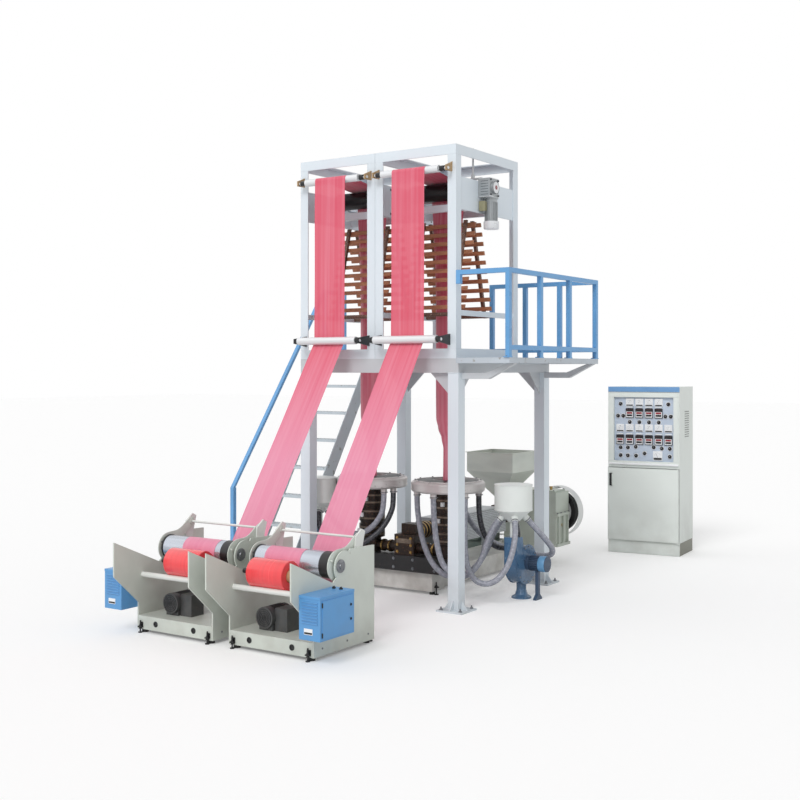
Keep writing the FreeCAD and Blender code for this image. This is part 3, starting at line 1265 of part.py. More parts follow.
def winder(side):
    s = SIGN[side]
    x = WINDER_X[side]
    rear = "(-winder_rear)"
    front = "(-winder_rear - winder_deep)"
    low = "winder_base_low"
    inner = "(winder_width / 2 - side_thick)"
    tray = box("tray_" + side, "2 * " + inner, "winder_deep", "winder_base_high", ("%s - %s" % (x, inner), front, low))
    hollow = box("tray_hollow_" + side, "2 * %s - 2 * sheet" % inner, "winder_deep - 2 * sheet",
                 "winder_base_high - sheet", ("%s - %s + sheet" % (x, inner), front + " + sheet", low))
    holes = [rod("tray_hole_%s_%d" % (side, i), "35", "sheet",
                 ("%s + %d * winder_width / 4" % (x, sx), front, low + " + winder_base_high / 2"), "y")
             for i, sx in enumerate((-1, 1))]
    blocks = [box("tray_block_%s_%d" % (side, i), "60", "60", "winder_base_high - sheet",
                  ("%s + %d * (%s - 35) - 30" % (x, sx, inner), "%s + winder_deep / 2 + %d * (winder_deep / 2 - 35) - 30"
                   % (front, sy), low)) for i, (sx, sy) in enumerate(CORNERS)]
    shared("winder_bases", fuse("winder_base_" + side, [cut("tray_open_" + side, tray, [hollow] + holes)] + blocks))
    feet = [rod("winder_foot_%s_%d" % (side, i), "50", low,
                ("%s + %d * (%s - 35)" % (x, sx, inner), "%s + winder_deep / 2 + %d * (winder_deep / 2 - 35)" % (front, sy), "0"))
            for i, (sx, sy) in enumerate(CORNERS)]
    shared("levelling_feet", *feet)
    for end, sx in (("inner", "-1" if side == "right" else "1"), ("outer", s)):
        low_x = "(%s + %s * (winder_width / 2 - side_thick / 2) - side_thick / 2)" % (x, sx)
        name = "side_plate_%s_%s" % (end, side)
        corners = [(rear, low), (front, low), (front, "lobe_foot"), (front + " - lobe_reach", "lobe_low"),
                   (front + " - lobe_reach", "lobe_top"), ("-valley_y", "valley_high"),
                   ("-nose_y", "nose_high"), ("-nose_y + nose_size * 0.3", "ear_top"), (rear, "ear_top - 8")]
        plate = pad(name + "_sheet", "YZ_Plane", corners, "side_thick", (low_x, "0", "0"))
        nose = rod(name + "_nose", "nose_size", "side_thick", (low_x, "-nose_y", "nose_high"), "x")
        bores = [rod("%s_bore_%d" % (name, i), "shaft_size + 2 * shaft_play", "side_thick", (low_x, y, z), "x")
                 for i, (y, z) in enumerate((("-drum_axis_y", "drum_axis_high"),))]
        shared("winder_side_plates", cut(name, fuse(name + "_whole", [plate, nose]), bores))
    shaft = "2 * %s + 2 * side_thick" % inner
    drum_y = "-drum_axis_y"
    discs = [rod("drum_disc_%s_%d" % (side, i), "drum_size + 8", "end_disc",
                 ("%s + %d * (drum_face / 2 + end_disc / 2) - end_disc / 2" % (x, sx), drum_y, "drum_axis_high"), "x")
             for i, sx in enumerate((-1, 1))]
    roller("winder_drum_" + side, x, drum_y, "drum_axis_high", "drum_size", "drum_face", shaft, discs)
    shared("winder_rods", rod("idler_" + side, "idler_size", "2 * " + inner,
                              ("%s - %s" % (x, inner), "-idler_y", "idler_high"), "x"))
    roll_reach = "(drum_size / 2 + roll_size / 2 + roller_clear)"
    roll_y = "(-drum_axis_y - sqrt(%s * %s - (drum_axis_high - roll_axis_high) * (drum_axis_high - roll_axis_high)))" % (
        roll_reach, roll_reach)
    film_x = BAY_X[side]
    wound = rod("wound_" + side, "roll_size", "film_width", (film_x + " - film_width / 2", roll_y, "roll_axis_high"), "x")
    core = rod("core_" + side, "core_size", "film_width + 2 * core_extra",
               (film_x + " - film_width / 2 - core_extra", roll_y, "roll_axis_high"), "x")
    stub = "(film_width / 2 + core_extra)"
    ends = [rod("stub_%s_%d" % (side, i), "roll_shaft", "roll_shaft_extra",
                ("%s + %s" % (film_x, stub) if sx > 0 else "%s - %s - roll_shaft_extra" % (film_x, stub), roll_y,
                 "roll_axis_high"), "x") for i, sx in enumerate((-1, 1))]
    sub_part("film_roll_" + side, fuse("film_roll_" + side, [wound, core] + ends))
    rest_gap = "(roll_size / 2 + rest_bar / 2 + 0.5)"
    rest = rod("rest_bar_" + side, "rest_bar", "2 * " + inner,
               ("%s - %s" % (x, inner), "%s - %s * cos(60 deg)" % (roll_y, rest_gap),
                "roll_axis_high - %s * sin(60 deg)" % rest_gap), "x")
    shared("winder_rods", rest)
    arms = []
    for i, sx in enumerate((-1, 1)):
        low_x = "%s + %d * (%s - 6) - 6" % (x, sx, inner)
        arms.append(pad("rod_arm_%s_%d" % (side, i), "YZ_Plane",
                        [("-arm_y - 60", "arm_high - 120"), ("-arm_y - 50", "arm_high + 10"), ("-arm_y + 20", "arm_high + 60"),
                         ("-arm_y + 60", "arm_high + 40"), ("-arm_y + 30", "arm_high - 60"), ("-arm_y + 20", "arm_high - 120")],
                        "12", (low_x, "0", "0")))
    bar = rod("top_rod_bar_" + side, "rod_size", "2 * %s - 24" % inner, ("%s - %s + 12" % (x, inner), "-arm_y", "arm_high"), "x")
    shared("winder_rods", fuse("tension_rod_" + side, arms + [bar]))
    box_x = "(%s + winder_width / 2)" % x if side == "right" else "(%s - winder_width / 2 - box_wide)" % x
    shared("control_boxes", box("control_box_" + side, "box_wide", "box_long", "box_high", (box_x, "-box_front", "box_low")))
    deck_z = "(winder_base_low + winder_base_high)"
    drive = motor("take_motor_" + side, "take_motor_size", "take_motor_long",
                  (x + " - 150", front + " + 110", deck_z + " + take_motor_size / 2 + 15"), "y", True)
    foot = box("take_foot_" + side, "120", "180", "take_motor_size / 2", (x + " - 210", front + " + 130", deck_z))
    gear = box("take_gear_" + side, "110", "130", "160", (x + " - 150 + take_motor_size / 2 - 10", front + " + 150", deck_z))
    shared("winder_motors", fuse("winder_motor_" + side, [drive, foot, gear]))


def cabinet():
    """The free-standing control cabinet, built square and then turned to where it stands."""
    half = "(cab_width / 2)"
    front = "(-cab_depth / 2)"

    def stand(node, thing):
        thing.Placement = FreeCAD.Placement(FreeCAD.Vector(0, 0, 0), FreeCAD.Rotation(Z_AXIS, 1))
        thing.setExpression("Placement.Base.x", formula("cab_x"))
        thing.setExpression("Placement.Base.y", formula("cab_y"))
        thing.setExpression("Placement.Rotation.Angle", formula("cab_turn"))
        sub_part(node, thing)

    shell = box("cab_shell", "cab_width", "cab_depth", "cab_height - cab_plinth", ("-" + half, front, "cab_plinth"))
    room = box("cab_room", "cab_width - 2 * cab_sheet", "cab_depth - cab_sheet",
               "cab_door_top - cab_plinth - cab_sheet", ("-%s + cab_sheet" % half, front, "cab_plinth + cab_sheet"))
    upper = box("cab_upper", "cab_width - 2 * cab_sheet", "cab_depth - 2 * cab_sheet - cab_panel_deep",
                "cab_height - cab_door_top - 2 * cab_sheet",
                ("-%s + cab_sheet" % half, front + " + cab_panel_deep + cab_sheet", "cab_door_top + cab_sheet"))
    recess = box("cab_recess", "cab_width - 60", "cab_panel_deep", "cab_panel_high",
                 ("-%s + 30" % half, front, "cab_panel_low"))
    plinth = box("cab_plinth_box", "cab_width - 20", "cab_depth - 20", "cab_plinth",
                 ("-%s + 10" % half, front + " + 10", "0"))
    pin_x = "(%s - cab_pin_inset)" % half
    pin_y = "(%s - cab_pin_out)" % front
    lugs = []
    bores = []
    for name, z, pin_low in (("low", "cab_plinth - 10", "cab_plinth - 5"),
                             ("high", "cab_door_top", "cab_door_top - cab_gap - 25")):
        lugs.append(box("cab_lug_" + name, "24", "cab_pin_out + 25", "10", (pin_x + " - 12", pin_y + " - 10", z)))
        lugs.append(rod("cab_pin_" + name, "8", "cab_gap + 30", (pin_x, pin_y, pin_low)))
        bores.append(rod("cab_bore_" + name, "8 + 2 * shaft_play", "cab_gap + 31", (pin_x, pin_y, pin_low + " - 0.5")))
    stand("cabinet_body", fuse("cabinet_whole", [cut("cabinet_shell", shell, [room, upper, recess]), plinth] + lugs))
    door = box("cab_door_sheet", "cab_width - 8", "cab_door_thick", "cab_door_top - cab_plinth - 2 * cab_gap",
               ("-%s + 4" % half, pin_y + " - cab_door_thick / 2", "cab_plinth + cab_gap"))
    handle = box("cab_handle", "18", "20", "120", ("-%s + 40" % half, pin_y + " - cab_door_thick / 2 - 20",
                                                    "cab_door_top - 190"))
    stand("cabinet_door", cut("cabinet_door_bored", fuse("cabinet_door_fused", [door, handle]), bores))


def air_hoses():
    """Hoses from each air ring's ports down and over to the air drum's ports."""
    middles = {
        "right_1": ((177, -433, 710), (212, -442, 558), (265, -450, 412), (349, -452, 280),
                   (475, -434, 194), (604, -358, 207), (668, -250, 297), (695, -148, 412), (722, -82, 549)),
        "right_2": ((415, -548, 665), (443, -551, 467), (506, -541, 279), (652, -457, 201),
                   (742, -340, 327), (759, -257, 508)),
        "right_3": ((627, -404, 719), (638, -426, 574), (653, -449, 431), (690, -467, 290),
                   (783, -475, 182), (921, -450, 186), (1005, -393, 289), (1038, -337, 419),
                   (1041, -289, 557)),
        "right_4": ((606, -131, 736), (610, -104, 611), (626, -51, 496), (671, 32, 410), (753, 124, 390),
                   (835, 153, 475), (860, 86, 580)),
        "right_5": ((386, 9, 683), (452, 93, 530), (560, 193, 417), (712, 278, 350), (890, 323, 320),
                   (1072, 297, 330), (1167, 172, 413), (1127, 43, 540)),
        "left_1": ((-197, -426, 697), (-241, -436, 625), (-296, -446, 561), (-366, -456, 514),
                   (-447, -471, 494), (-526, -495, 509), (-591, -525, 555)),
        "left_2": ((-152, -335, 716), (-196, -386, 583), (-285, -439, 476), (-406, -482, 400),
                   (-541, -539, 373), (-656, -615, 423), (-707, -667, 551)),
    }
    front = -cell("tower_depth") / 2 - cell("column_side") / 2
    bay_y = front + cell("bay_depth") / 2
    drums = {"left": (-cell("blower_left_x"), -cell("blower_left_y")), "right": (cell("blower_x"), cell("blower_y"))}
    straight = cell("hose_straight")
    seat = 0.3
    tilt = math.radians(cell("port_tilt"))
    ring_reach = cell("air_ring_size") / 2 - cell("hose_size")
    for side in SIDES:
        bay_x = -cell("tower_width") / 2 - cell("column_side") / 2 + BAY_SHIFT[side]
        drum_x, drum_y = drums[side]
        drum_y += (cell("outlet_deep") - cell("scroll_size")) / 2
        for i, (ring_angle, drum_angle) in enumerate(zip(PORT_ANGLES[side], DRUM_ANGLES[side]), start=1):
            a = math.radians(ring_angle)
            b = math.radians(drum_angle)
            start = FreeCAD.Vector(bay_x + ring_reach * math.cos(a), bay_y + ring_reach * math.sin(a),
                                   cell("air_ring_low") - cell("port_long"))
            slant = FreeCAD.Vector(math.cos(b) * math.sin(tilt), math.sin(b) * math.sin(tilt), -math.cos(tilt))
            foot = FreeCAD.Vector(drum_x + cell("port_foot") * math.cos(b), drum_y + cell("port_foot") * math.sin(b),
                                  cell("air_drum_low") - cell("air_cone_high") + cell("port_foot_rise"))
            stop = foot + slant * cell("drum_port_long")
            name = "%s_%d" % (side, i)
            route = [start - Z_AXIS * seat, start - Z_AXIS * straight]
            route += [FreeCAD.Vector(*point) for point in middles[name]]
            route += [stop + slant * straight, stop + slant * seat]
            hose("air_hose_" + name, route, cell("hose_size"))


columns()
ring_beam()
knees()
deck()
walkway()
railing()
stair()
for side in SIDES:
    upper_frame(side)
    nip_frame(side)
    collapsing_frame(side)
    idlers(side)
    film_web(side)
    bubble(side)
    die(side)
    blower(side)
    winder(side)
nip_rollers()
haul_off_motor()
crank()
air_hoses()
manifold()
extruder()
hopper()
gearbox()
drive_wheel()
main_motor()
belt_drive()
cabinet()

for node, pieces in SHARED.items():
    sub_part(node, group(node, pieces))

doc.recompute()
for thing in doc.Objects:
    if "Invalid" in thing.State or "Error" in thing.State:
        raise RuntimeError("%s is %s" % (thing.Name, thing.State))
os.makedirs("parts", exist_ok=True)
faces = 0
for node, thing in PARTS.items():
    shape = thing.Shape
    if shape.isNull() or not shape.isValid() or not shape.Solids:
        raise RuntimeError(node + " has no valid solid")
    faces += len(shape.Faces)
    shape.exportStep("parts/%s.step" % node)
print(len(PARTS), "parts,", faces, "faces")
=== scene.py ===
import json
from math import acos, asin, atan2, cos, hypot, pi, radians, sin
import random

import bmesh
import bpy
from mathutils import Matrix, Vector


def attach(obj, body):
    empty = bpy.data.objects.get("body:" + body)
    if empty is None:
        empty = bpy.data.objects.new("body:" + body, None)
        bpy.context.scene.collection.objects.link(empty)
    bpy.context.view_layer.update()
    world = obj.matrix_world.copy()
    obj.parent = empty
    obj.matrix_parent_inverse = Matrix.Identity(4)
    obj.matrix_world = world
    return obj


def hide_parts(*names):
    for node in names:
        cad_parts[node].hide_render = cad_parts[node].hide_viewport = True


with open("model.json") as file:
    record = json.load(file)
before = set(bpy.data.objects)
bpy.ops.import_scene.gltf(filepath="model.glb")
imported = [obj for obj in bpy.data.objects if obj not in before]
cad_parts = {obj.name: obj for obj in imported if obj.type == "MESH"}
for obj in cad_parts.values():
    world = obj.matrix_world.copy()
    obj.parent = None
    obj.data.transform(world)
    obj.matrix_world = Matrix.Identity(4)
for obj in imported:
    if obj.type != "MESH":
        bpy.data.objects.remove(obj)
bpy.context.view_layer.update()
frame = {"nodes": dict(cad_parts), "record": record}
BASE = "line"
random.seed(4)

# ---------------------------------------------------------------- camera
lens_data = bpy.data.cameras.new("camera")
lens_data.sensor_width = 36.0
lens_data.lens = 52.81
lens_data.shift_y = -0.0379
lens_data.clip_end = 200.0
camera = bpy.data.objects.new("camera", lens_data)
camera.location = (5.644, -8.875, 1.946)
camera.rotation_euler = (radians(90), 0, radians(33.8))
bpy.context.scene.collection.objects.link(camera)
bpy.context.scene.camera = camera

# ---------------------------------------------------------------- places
BAY_X = {"left": -0.4085, "right": 0.3865}
BAY_Y = -0.282
WINDER_X = {"left": -0.4525, "right": 0.4525}
SIGN = {"left": -1, "right": 1}
HOSE = 0.05
HOSES = {
    "right_1": ((0.167, -0.430, 0.865), (0.167, -0.430, 0.805), (0.177, -0.433, 0.710), (0.212, -0.442, 0.558),
                (0.265, -0.450, 0.412), (0.349, -0.452, 0.280), (0.475, -0.434, 0.194), (0.604, -0.358, 0.207),
                (0.668, -0.250, 0.297), (0.695, -0.148, 0.412), (0.722, -0.082, 0.549), (0.768, -0.078, 0.632),
                (0.808, -0.086, 0.677)),
    "right_2": ((0.405, -0.546, 0.865), (0.405, -0.546, 0.805), (0.415, -0.548, 0.665), (0.443, -0.551, 0.467),
                (0.506, -0.541, 0.279), (0.652, -0.457, 0.201), (0.742, -0.340, 0.327), (0.759, -0.257, 0.508),
                (0.793, -0.205, 0.632), (0.826, -0.182, 0.677)),
    "right_3": ((0.625, -0.398, 0.865), (0.625, -0.398, 0.805), (0.627, -0.404, 0.719), (0.638, -0.426, 0.574),
                (0.653, -0.449, 0.431), (0.690, -0.467, 0.290), (0.783, -0.475, 0.182), (0.921, -0.450, 0.186),
                (1.005, -0.393, 0.289), (1.038, -0.337, 0.419), (1.041, -0.289, 0.557), (1.022, -0.250, 0.632),
                (1.000, -0.216, 0.677)),
    "right_4": ((0.606, -0.134, 0.865), (0.606, -0.134, 0.805), (0.606, -0.131, 0.736), (0.610, -0.104, 0.611),
                (0.626, -0.051, 0.496), (0.671, 0.032, 0.410), (0.753, 0.124, 0.390), (0.835, 0.153, 0.475),
                (0.860, 0.086, 0.580), (0.873, 0.043, 0.632), (0.887, 0.005, 0.677)),
    "right_5": ((0.368, -0.018, 0.865), (0.368, -0.018, 0.805), (0.386, 0.009, 0.683), (0.452, 0.093, 0.530),
                (0.560, 0.193, 0.417), (0.712, 0.278, 0.350), (0.890, 0.323, 0.320), (1.072, 0.297, 0.330),
                (1.167, 0.172, 0.413), (1.127, 0.043, 0.540), (1.067, -0.020, 0.632), (1.034, -0.043, 0.677)),
    "left_1": ((-0.184, -0.422, 0.865), (-0.184, -0.422, 0.805), (-0.197, -0.426, 0.697), (-0.241, -0.436, 0.625),
               (-0.296, -0.446, 0.561), (-0.366, -0.456, 0.514), (-0.447, -0.471, 0.494), (-0.526, -0.495,
                                                                                           0.509),
               (-0.591, -0.525, 0.555), (-0.667, -0.539, 0.632), (-0.707, -0.532, 0.677)),
    "left_2": ((-0.148, -0.328, 0.865), (-0.148, -0.328, 0.805), (-0.152, -0.335, 0.716), (-0.196, -0.386, 0.583),
               (-0.285, -0.439, 0.476), (-0.406, -0.482, 0.400), (-0.541, -0.539, 0.373), (-0.656, -0.615,
                                                                                           0.423),
               (-0.707, -0.667, 0.551), (-0.735, -0.645, 0.632), (-0.758, -0.612, 0.677)),
}


def srgb(r, g, b):
    def lin(v):
        v /= 255.0
        return v / 12.92 if v <= 0.04045 else ((v + 0.055) / 1.055) ** 2.4
    return (lin(r), lin(g), lin(b), 1.0)


# ---------------------------------------------------------------- materials
def feed(tree, node, inputs):
    """Sets each input of a node, or links it where the value is another node's output."""
    for key, value in inputs.items():
        if isinstance(value, bpy.types.NodeSocket):
            tree.links.new(value, node.inputs[key])
        else:
            node.inputs[key].default_value = value


def add(tree, kind, inputs=None, out=0, **settings):
    """A new node with these settings and inputs; gives its output."""
    node = tree.nodes.new("ShaderNode" + kind)
    for key, value in settings.items():
        setattr(node, key, value)
    feed(tree, node, inputs or {})
    return node.outputs[out]


def new_material(name):
    mat = bpy.data.materials.new(name)
    mat.use_nodes = True
    return mat, mat.node_tree, mat.node_tree.nodes["Principled BSDF"]


def spread(tree, value, low, high, to_low=0.0, to_high=1.0):
    return add(tree, "MapRange", {"Value": value, "From Min": low, "From Max": high, "To Min": to_low,
                                  "To Max": to_high}, "Result")


def mix(tree, factor, a, b):
    return add(tree, "Mix", {"Factor": factor, 6: a, 7: b}, 2, data_type="RGBA")


def times(tree, a, b):
    return add(tree, "Math", {0: a, 1: b}, operation="MULTIPLY")


def finish(name, rgb, rough, metal, vary, size, grain, grain_size, stretch=(1, 1, 1), wear=None, wear_at=0.62,
           dust=0.0, coat=0.0, edge=0.0, spec=0.5):
    """A surface whose colour, gloss and texture change over it: broad tone, fine grain, dirt near the floor and
    worn edges."""
    mat, tree, shader = new_material(name)
    where = add(tree, "TexCoord", out="Object")
    shape = add(tree, "Mapping", {"Vector": where, "Scale": stretch})

    def noise(scale, detail=4.0):
        return add(tree, "TexNoise", {"Vector": shape, "Scale": scale, "Detail": detail}, "Fac")

    base = srgb(*rgb)
    dark = tuple(c * (1 - vary) for c in base[:3]) + (1.0,)
    pale = tuple(min(1.0, c * (1 + vary)) for c in base[:3]) + (1.0,)
    broad = noise(size)
    colour = mix(tree, spread(tree, broad, 0.3, 0.7), dark, pale)
    fine = noise(size * 9, 6.0)
    if wear is not None:
        colour = mix(tree, spread(tree, fine, wear_at, wear_at + 0.08), colour, srgb(*wear))
    if dust:
        low = spread(tree, add(tree, "SeparateXYZ", {"Vector": where}, "Z"), 0.0, DUST_HIGH, dust, 0.0)
        grime = times(tree, low, spread(tree, noise(size * 3), 0.35, 0.65, 0.3, 1.0))
        colour = mix(tree, grime, colour, srgb(*DIRT))
    bump = {"Strength": grain, "Distance": 0.001, "Height": noise(grain_size, 2.0)}
    if edge:
        soft = add(tree, "Bevel", {"Radius": edge}, "Normal", samples=4)
        plain = add(tree, "NewGeometry", out="Normal")
        dot = add(tree, "VectorMath", {0: soft, 1: plain}, "Value", operation="DOT_PRODUCT")
        worn = times(tree, spread(tree, dot, 0.985, 0.9, 0.0, 0.6), spread(tree, fine, 0.42, 0.62))
        colour = mix(tree, worn, colour, srgb(*(min(255, int(c * 0.72 + 30)) for c in rgb)))
        bump["Normal"] = soft
    gloss = spread(tree, broad, 0.25, 0.75, max(0.04, rough - 0.08), min(1.0, rough + 0.08))
    feed(tree, shader, {"Metallic": metal, "Coat Weight": coat, "Coat Roughness": 0.15, "Specular IOR Level": spec,
                        "Base Color": colour, "Normal": add(tree, "Bump", bump, "Normal"), "Roughness": gloss})
    return mat


def film_finish(name, upper, lower, alpha, streak, low_z, high_z):
    """Thin glossy film: pale where light comes through, with streaks and soft creases along its length."""
    mat, tree, shader = new_material(name)
    where = add(tree, "TexCoord", out="Object")
    height = add(tree, "SeparateXYZ", {"Vector": where}, "Z")
    tone = mix(tree, spread(tree, height, low_z, high_z), srgb(*lower), srgb(*upper))
    shape = add(tree, "Mapping", {"Vector": where, "Scale": (38, 0.5, 0.5)})
    streaks = add(tree, "TexNoise", {"Vector": shape, "Scale": 1.0, "Detail": 5.0}, "Fac")
    colour = mix(tree, spread(tree, streaks, 0.35, 0.7, 0.0, streak), tone, srgb(244, 190, 205))
    bump = add(tree, "Bump", {"Strength": 0.35, "Distance": 0.002, "Height": streaks}, "Normal")
    feed(tree, shader, {"Roughness": 0.34, "Alpha": alpha, "Specular IOR Level": 0.35, "Base Color": colour,
                        "Normal": bump})
    return mat


DUST_HIGH = 0.7
DIRT = (118, 110, 98)
# name: colour, roughness, metal, variation, size of its patches, grain, grain size, and what else it has
FINISHES = {
    "tower_paint": ((222, 231, 238), 0.42, 0, 0.035, 1.2, 0.12, 220, dict(dust=0.35, edge=0.003)),
    "tower_dark": ((200, 204, 208), 0.42, 0, 0.05, 2, 0.12, 220, dict(dust=0.1, edge=0.003)),
    "rail_paint": ((104, 163, 214), 0.32, 0, 0.07, 3, 0.1, 240,
                   dict(dust=0.3, wear=(150, 178, 200), wear_at=0.7, edge=0.003)),
    "walk_paint": ((188, 196, 204), 0.5, 0, 0.08, 3, 0.5, 60, dict(wear=(150, 150, 146), edge=0.002)),
    "stair_paint": ((196, 206, 212), 0.42, 0, 0.06, 2.5, 0.12, 220,
                    dict(dust=0.3, wear=(150, 152, 148), edge=0.003)),
    "roller_chrome": ((206, 208, 212), 0.12, 1, 0.05, 4, 0.05, 300, dict(stretch=(0.3, 4, 4))),
    "roller_rubber": ((24, 21, 23), 0.3, 0, 0.2, 5, 0.05, 260, dict(spec=0.3)),
    "roller_alu": ((226, 228, 230), 0.3, 0.25, 0.04, 5, 0.1, 300, dict(stretch=(0.3, 4, 4))),
    "bracket_black": ((26, 27, 30), 0.36, 0, 0.25, 10, 0.2, 180),
    "bracket_tan": ((176, 146, 108), 0.5, 0, 0.16, 14, 0.3, 140, dict(wear=(120, 92, 64), edge=0.002)),
    "slat_wood": ((184, 124, 90), 0.55, 0, 0.22, 9, 0.5, 60,
                  dict(stretch=(0.25, 3, 3), wear=(150, 98, 62), wear_at=0.56)),
    "steel_bare": ((178, 180, 182), 0.34, 0.8, 0.1, 9, 0.15, 240, dict(wear=(140, 134, 124), wear_at=0.68)),
    "frame_brown": ((120, 92, 78), 0.5, 0.3, 0.2, 10, 0.3, 160, dict(wear=(170, 160, 150), wear_at=0.6)),
    "film_roll_red": ((238, 68, 74), 0.22, 0, 0.05, 4, 0.2, 40, dict(stretch=(14, 0.6, 0.6), coat=0.5)),
    "roll_core": ((176, 140, 104), 0.7, 0, 0.12, 18, 0.4, 120),
    "die_steel": ((54, 47, 44), 0.4, 0.7, 0.35, 9, 0.3, 120, dict(wear=(120, 84, 58), wear_at=0.6)),
    "ring_alu": ((204, 200, 199), 0.36, 0.55, 0.08, 5, 0.25, 160,
                 dict(wear=(150, 148, 142), wear_at=0.66, edge=0.003)),
    "manifold_brown": ((44, 34, 29), 0.48, 0.45, 0.4, 12, 0.5, 110, dict(wear=(132, 92, 58), wear_at=0.6)),
    "base_pale": ((226, 226, 222), 0.42, 0, 0.06, 2.5, 0.12, 220, dict(dust=0.5, edge=0.003)),
    "bed_black": ((30, 30, 32), 0.42, 0, 0.3, 8, 0.3, 140, dict(wear=(84, 76, 68), wear_at=0.66, edge=0.002)),
    "guard_grey": ((182, 187, 190), 0.4, 0.3, 0.08, 3, 0.2, 160, dict(edge=0.002)),
    "gear_green": ((188, 196, 186), 0.42, 0, 0.08, 4, 0.3, 120, dict(dust=0.3, edge=0.004)),
    "hopper_steel": ((208, 212, 204), 0.36, 0.35, 0.1, 2.5, 0.15, 200, dict(stretch=(1, 1, 3), edge=0.002)),
    "wheel_iron": ((34, 33, 34), 0.45, 0, 0.25, 9, 0.35, 120),
    "wheel_web": ((222, 224, 224), 0.42, 0, 0.08, 7, 0.3, 120,
                  dict(wear=(150, 140, 128), wear_at=0.66, edge=0.003)),
    "belt_rubber": ((26, 26, 27), 0.62, 0, 0.2, 12, 0.3, 160),
    "guard_white": ((226, 228, 227), 0.4, 0, 0.05, 4, 0.15, 180, dict(edge=0.002)),
    "motor_green": ((86, 104, 98), 0.45, 0, 0.15, 7, 0.35, 110, dict(dust=0.3, edge=0.003)),
    "blower_blue": ((70, 108, 144), 0.28, 0, 0.2, 6, 0.3, 90,
                    dict(dust=0.15, coat=0.3, wear=(104, 136, 160), wear_at=0.64, edge=0.003)),
    "motor_blue": ((58, 76, 100), 0.34, 0, 0.1, 8, 0.2, 150, dict(edge=0.002)),
    "motor_dark": ((52, 58, 66), 0.42, 0, 0.2, 9, 0.3, 120),
    "motor_grey": ((168, 172, 174), 0.36, 0.45, 0.1, 9, 0.3, 120, dict(edge=0.002)),
    "drum_grey": ((224, 229, 226), 0.38, 0, 0.04, 4, 0.12, 180, dict(edge=0.003)),
    "hose_grey": ((146, 149, 160), 0.24, 0, 0.22, 45, 0.15, 150, dict(coat=0.4)),
    "hose_dark": ((62, 64, 70), 0.28, 0, 0.22, 45, 0.15, 150, dict(coat=0.2)),
    "winder_paint": ((207, 213, 205), 0.42, 0, 0.045, 2.2, 0.12, 220,
                     dict(dust=0.28, wear=(176, 178, 166), wear_at=0.72, edge=0.003)),
    "foot_rubber": ((32, 32, 33), 0.6, 0, 0.2, 20, 0.3, 160),
    "drum_rubber": ((188, 194, 204), 0.24, 0.75, 0.07, 5, 0.08, 260, dict(stretch=(0.3, 3, 3))),
    "box_blue": ((92, 156, 212), 0.36, 0, 0.05, 3, 0.15, 200,
                 dict(dust=0.15, wear=(130, 180, 220), wear_at=0.72, edge=0.003)),
    "cabinet_paint": ((224, 230, 226), 0.48, 0, 0.03, 2, 0.35, 260, dict(dust=0.25, edge=0.003)),
    "panel_blue": ((192, 204, 220), 0.4, 0, 0.04, 5, 0.12, 240),
    "stripe_blue": ((112, 158, 206), 0.38, 0, 0.05, 5, 0.15, 200),
    "small_motor": ((74, 76, 78), 0.42, 0.2, 0.2, 9, 0.35, 110, dict(dust=0.2)),
    "plastic_black": ((28, 28, 30), 0.35, 0, 0.2, 30, 0.15, 200),
    "cover_blue": ((96, 146, 186), 0.32, 0, 0.12, 9, 0.2, 150, dict(wear=(130, 160, 184), wear_at=0.68)),
    # plinth_dark is painted shade: the darker olive grey of the plinth's side faces, whose front is white.
    "plinth_dark": ((128, 128, 118), 0.5, 0, 0.12, 6, 0.3, 160),
    "rod_pale": ((222, 224, 220), 0.34, 0, 0.05, 6, 0.1, 240),
    "olive_paint": ((146, 142, 112), 0.5, 0, 0.14, 14, 0.3, 140),
    "plastic_white": ((236, 238, 240), 0.35, 0, 0.03, 20, 0.08, 200),
    "display_red": ((150, 60, 66), 0.25, 0, 0.2, 60, 0.05, 200, dict(coat=0.5)),
    "brass": ((176, 146, 92), 0.3, 0.9, 0.14, 18, 0.2, 160, dict(wear=(120, 92, 50), wear_at=0.66)),
    "heater_band": ((124, 112, 100), 0.4, 0.75, 0.25, 16, 0.2, 180, dict(wear=(84, 58, 42), wear_at=0.58)),
    "bolt_steel": ((132, 134, 138), 0.36, 0.8, 0.2, 30, 0.2, 220),
}
MATS = {name: finish(name, *row[:7], **(row[7] if len(row) > 7 else {})) for name, row in FINISHES.items()}
MATS["film_pink"] = film_finish("film_pink", (219, 88, 110), (224, 136, 164), 0.97, 0.20, 1.2, 2.2)
MATS["film_bubble"] = film_finish("film_bubble", (218, 92, 112), (222, 112, 136), 0.86, 0.35, 1.0, 2.4)


def paint_hole_shade(mat, pitch, share):
    """Rows of small holes over a painted sheet that stands along X, drawn only as dark dots of painted shade seen
    through them.
    """
    tree = mat.node_tree
    shader = tree.nodes["Principled BSDF"]
    under = shader.inputs["Base Color"].links[0].from_socket
    shape = add(tree, "Mapping", {"Vector": add(tree, "TexCoord", out="Object"),
                                  "Scale": (0, 1 / pitch, 1 / pitch)})
    cells = add(tree, "TexVoronoi", {"Vector": shape, "Scale": 1.0, "Randomness": 0.0}, "Distance")
    # Dark dots where the holes are: painted shade.
    hole_shade = spread(tree, cells, share, share * 0.8)
    feed(tree, shader, {"Base Color": mix(tree, hole_shade, under, srgb(58, 60, 62))})


# The barrel guard's holes are dark dots of painted shade, not cut holes.
paint_hole_shade(MATS["guard_grey"], 0.014, 0.30)
slot_of = {entry["node"]: entry["material_slot"] for entry in frame["record"]["subparts"]}
OWN = {"winder_rods": "rod_pale", "top_brackets": "bracket_tan", "collapsing_rails": "frame_brown",
       "haul_off_motor": "motor_grey"}
for node, thing in frame["nodes"].items():
    name = OWN.get(node, slot_of[node])
    for place in thing.material_slots:
        place.material = MATS[name]


# ---------------------------------------------------------------- mesh helpers
SHARP = radians(35)


